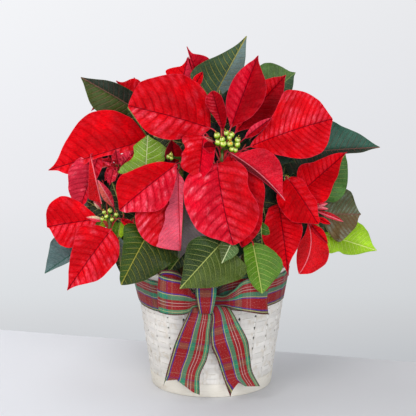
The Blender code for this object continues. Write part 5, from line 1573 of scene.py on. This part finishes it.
def make_tail(name, node, rows, notch, lean, start):
    """A hanging tail of ribbon whose end has a notch; `start` is how far into the tartan it begins."""
    left, right = (spline([spot(*row[side], row[2]) for row in rows], 81) for side in (0, 1))
    share = np.linspace(0.0, 1.0, RIBBON_COLUMNS)[None, :]
    points = left[:, None] + (right - left)[:, None] * share[..., None]
    down = np.linspace(0.0, 1.0, 81)[:, None]
    ripple = lean * np.sin(TAU * share + down * 5.4) * np.clip(down * 2.0, 0.0, 1.0)
    gather = 1.5 * np.sin(TAU * PLEAT_WAVES * share) * np.clip(1.0 - down * 2.2, 0.0, 1.0)
    points[..., 1] = points[..., 1] + ripple - 1.2 + gather
    cut = np.interp(share, *zip(*notch))
    shortened = np.clip((down - 0.86) / 0.14, 0.0, 1.0) * cut
    points[..., 2] = points[..., 2] + shortened
    travel = travelled((left + right) * 0.5)
    along = travel[:, None] - shortened + start * RIBBON_WIDTH
    ribbon_sheet(name, node, points, share, along)


def staged(name, corners, material):
    """A flat four-cornered piece of the stage."""
    data = bpy.data.meshes.new(name)
    data.from_pydata(corners, [], [(0, 1, 2, 3)])
    data.materials.append(material)
    placed(name, data)


def make_floor():
    """Pale table top: smooth laminate, with painted shade that makes it a little darker to the right."""
    material, tree, surface = new_material("pale table top", 0.75)
    place = add(tree, "ShaderNodeTexCoord").outputs["Object"]
    # Painted shade: darker toward the right along X, with faint mottling.
    tone_drift = computed(tree, "MULTIPLY_ADD", noise(tree, place, 6.0, 3.0, False), 0.06, axes(tree, place)["X"])
    colour = coloured(tree, scaled(tree, tone_drift, 0.0, 1.0, -0.3, 0.34),
                      [(0.0, "#E8E9ED"), (0.5, "#DFE0E3"), (1.0, "#CBCBCD")])
    tree.links.new(colour, surface.inputs["Base Color"])
    corners = [(-3.0, 1.008), (-3.0, -3.0), (3.0, -3.0), (3.0, -0.7)]
    staged("table_top", [(x, y, TABLE_LEVEL) for x, y in corners], material)


def make_backdrop():
    """Paper backdrop far behind with painted light: it glows by itself though it is no lamp, lighter at the
    top left, so no shadow falls on it.
    """
    material = bpy.data.materials.new("glowing backdrop with painted light")
    material.use_nodes = True
    tree = material.node_tree
    tree.nodes.remove(tree.nodes["Principled BSDF"])
    place = axes(tree, add(tree, "ShaderNodeTexCoord").outputs["Object"])
    stops = [(0.0, "#CACDD1"), (0.105, "#D5D7DA"), (0.18, "#DCDFE2"), (0.445, "#E9EAEE"), (0.73, "#EFF0F4"),
             (1.0, "#F4F5F8")]
    # Painted light: lighter toward the top, and by the next line a little darker toward the right.
    colour = coloured(tree, scaled(tree, place["Z"], 0.0, 1.0, -0.85, 0.25), stops)
    shade = toned(tree, colour, computed(tree, "MULTIPLY_ADD", place["X"], -0.08, 0.953))
    glow = add(tree, "ShaderNodeEmission", None, {"Color": shade, "Strength": 1.0})
    tree.links.new(glow.outputs[0], tree.nodes["Material Output"].inputs["Surface"])
    staged("backdrop", [(-6.0, 3.0, -4.0), (6.0, 3.0, -4.0), (6.0, 3.0, 4.0), (-6.0, 3.0, 4.0)], material)


def aim(thing, place, target):
    """Put a light or camera at a place in metres and turn it to its target."""
    thing.location = place
    thing.rotation_euler = (Vector(target) - Vector(place)).to_track_quat("-Z", "Y").to_euler()


def make_light(name, place, size, power, colour):
    """A square lamp that faces the middle of the plant."""
    lamp = bpy.data.lights.new(name, "AREA")
    lamp.size = size
    lamp.energy = power
    lamp.color = linear(colour)[:3]
    aim(placed(name, lamp), place, (0.0, 0.0, 0.22))


def make_studio():
    """Light from a window at the left, from above and from the front, in pale air."""
    make_light("window light", (-2.4, -3.8, 3.2), 2.2, 106.0, "#FFFDFA")
    make_light("overhead light", (-0.7, 0.3, 3.4), 2.4, 36.0, "#FBFCFF")
    make_light("fill light", (1.6, -5.4, 1.8), 3.6, 200.0, "#F8FAFF")
    world = bpy.data.worlds.new("studio air")
    world.use_nodes = True
    air = world.node_tree.nodes["Background"]
    air.inputs["Color"].default_value = linear("#E8EBF0")
    air.inputs["Strength"].default_value = 0.36
    bpy.context.scene.world = world
    bpy.context.scene.view_settings.view_transform = "Standard"


def make_camera():
    """The camera of the photograph."""
    lens = bpy.data.cameras.new("camera")
    lens.sensor_width = SENSOR_WIDTH
    lens.lens = SENSOR_WIDTH * float(np.linalg.norm(SIGHT - AIM)) / PICTURE_WIDTH
    camera = placed("camera", lens)
    aim(camera, tuple(SIGHT * MM), tuple(AIM * MM))
    bpy.context.scene.camera = camera


def main():
    """Build the studio, the basket with its pot and ribbon, then the plant."""
    make_camera()
    make_studio()
    make_floor()
    make_backdrop()
    make_basket()
    make_pot()
    make_soil()
    make_band()
    make_loop("left_bow_loop", "bow_loop_left", LEFT_LOOP, True, 1)
    make_loop("right_bow_loop", "bow_loop_right", RIGHT_LOOP, False, 2)
    make_knot()
    make_tail("left_ribbon_tail", "ribbon_tail_left", LEFT_TAIL, LEFT_CUT, 1.0, 0.1)
    make_tail("right_ribbon_tail", "ribbon_tail_right", RIGHT_TAIL, RIGHT_CUT, -1.0, 0.5)
    for place, bloom in enumerate(HUBS):
        make_bracts(bloom, 100 + 20 * place)
        make_flowers(bloom, 700 + 20 * place)
        make_stem(bloom, 1300 + 20 * place)


main()
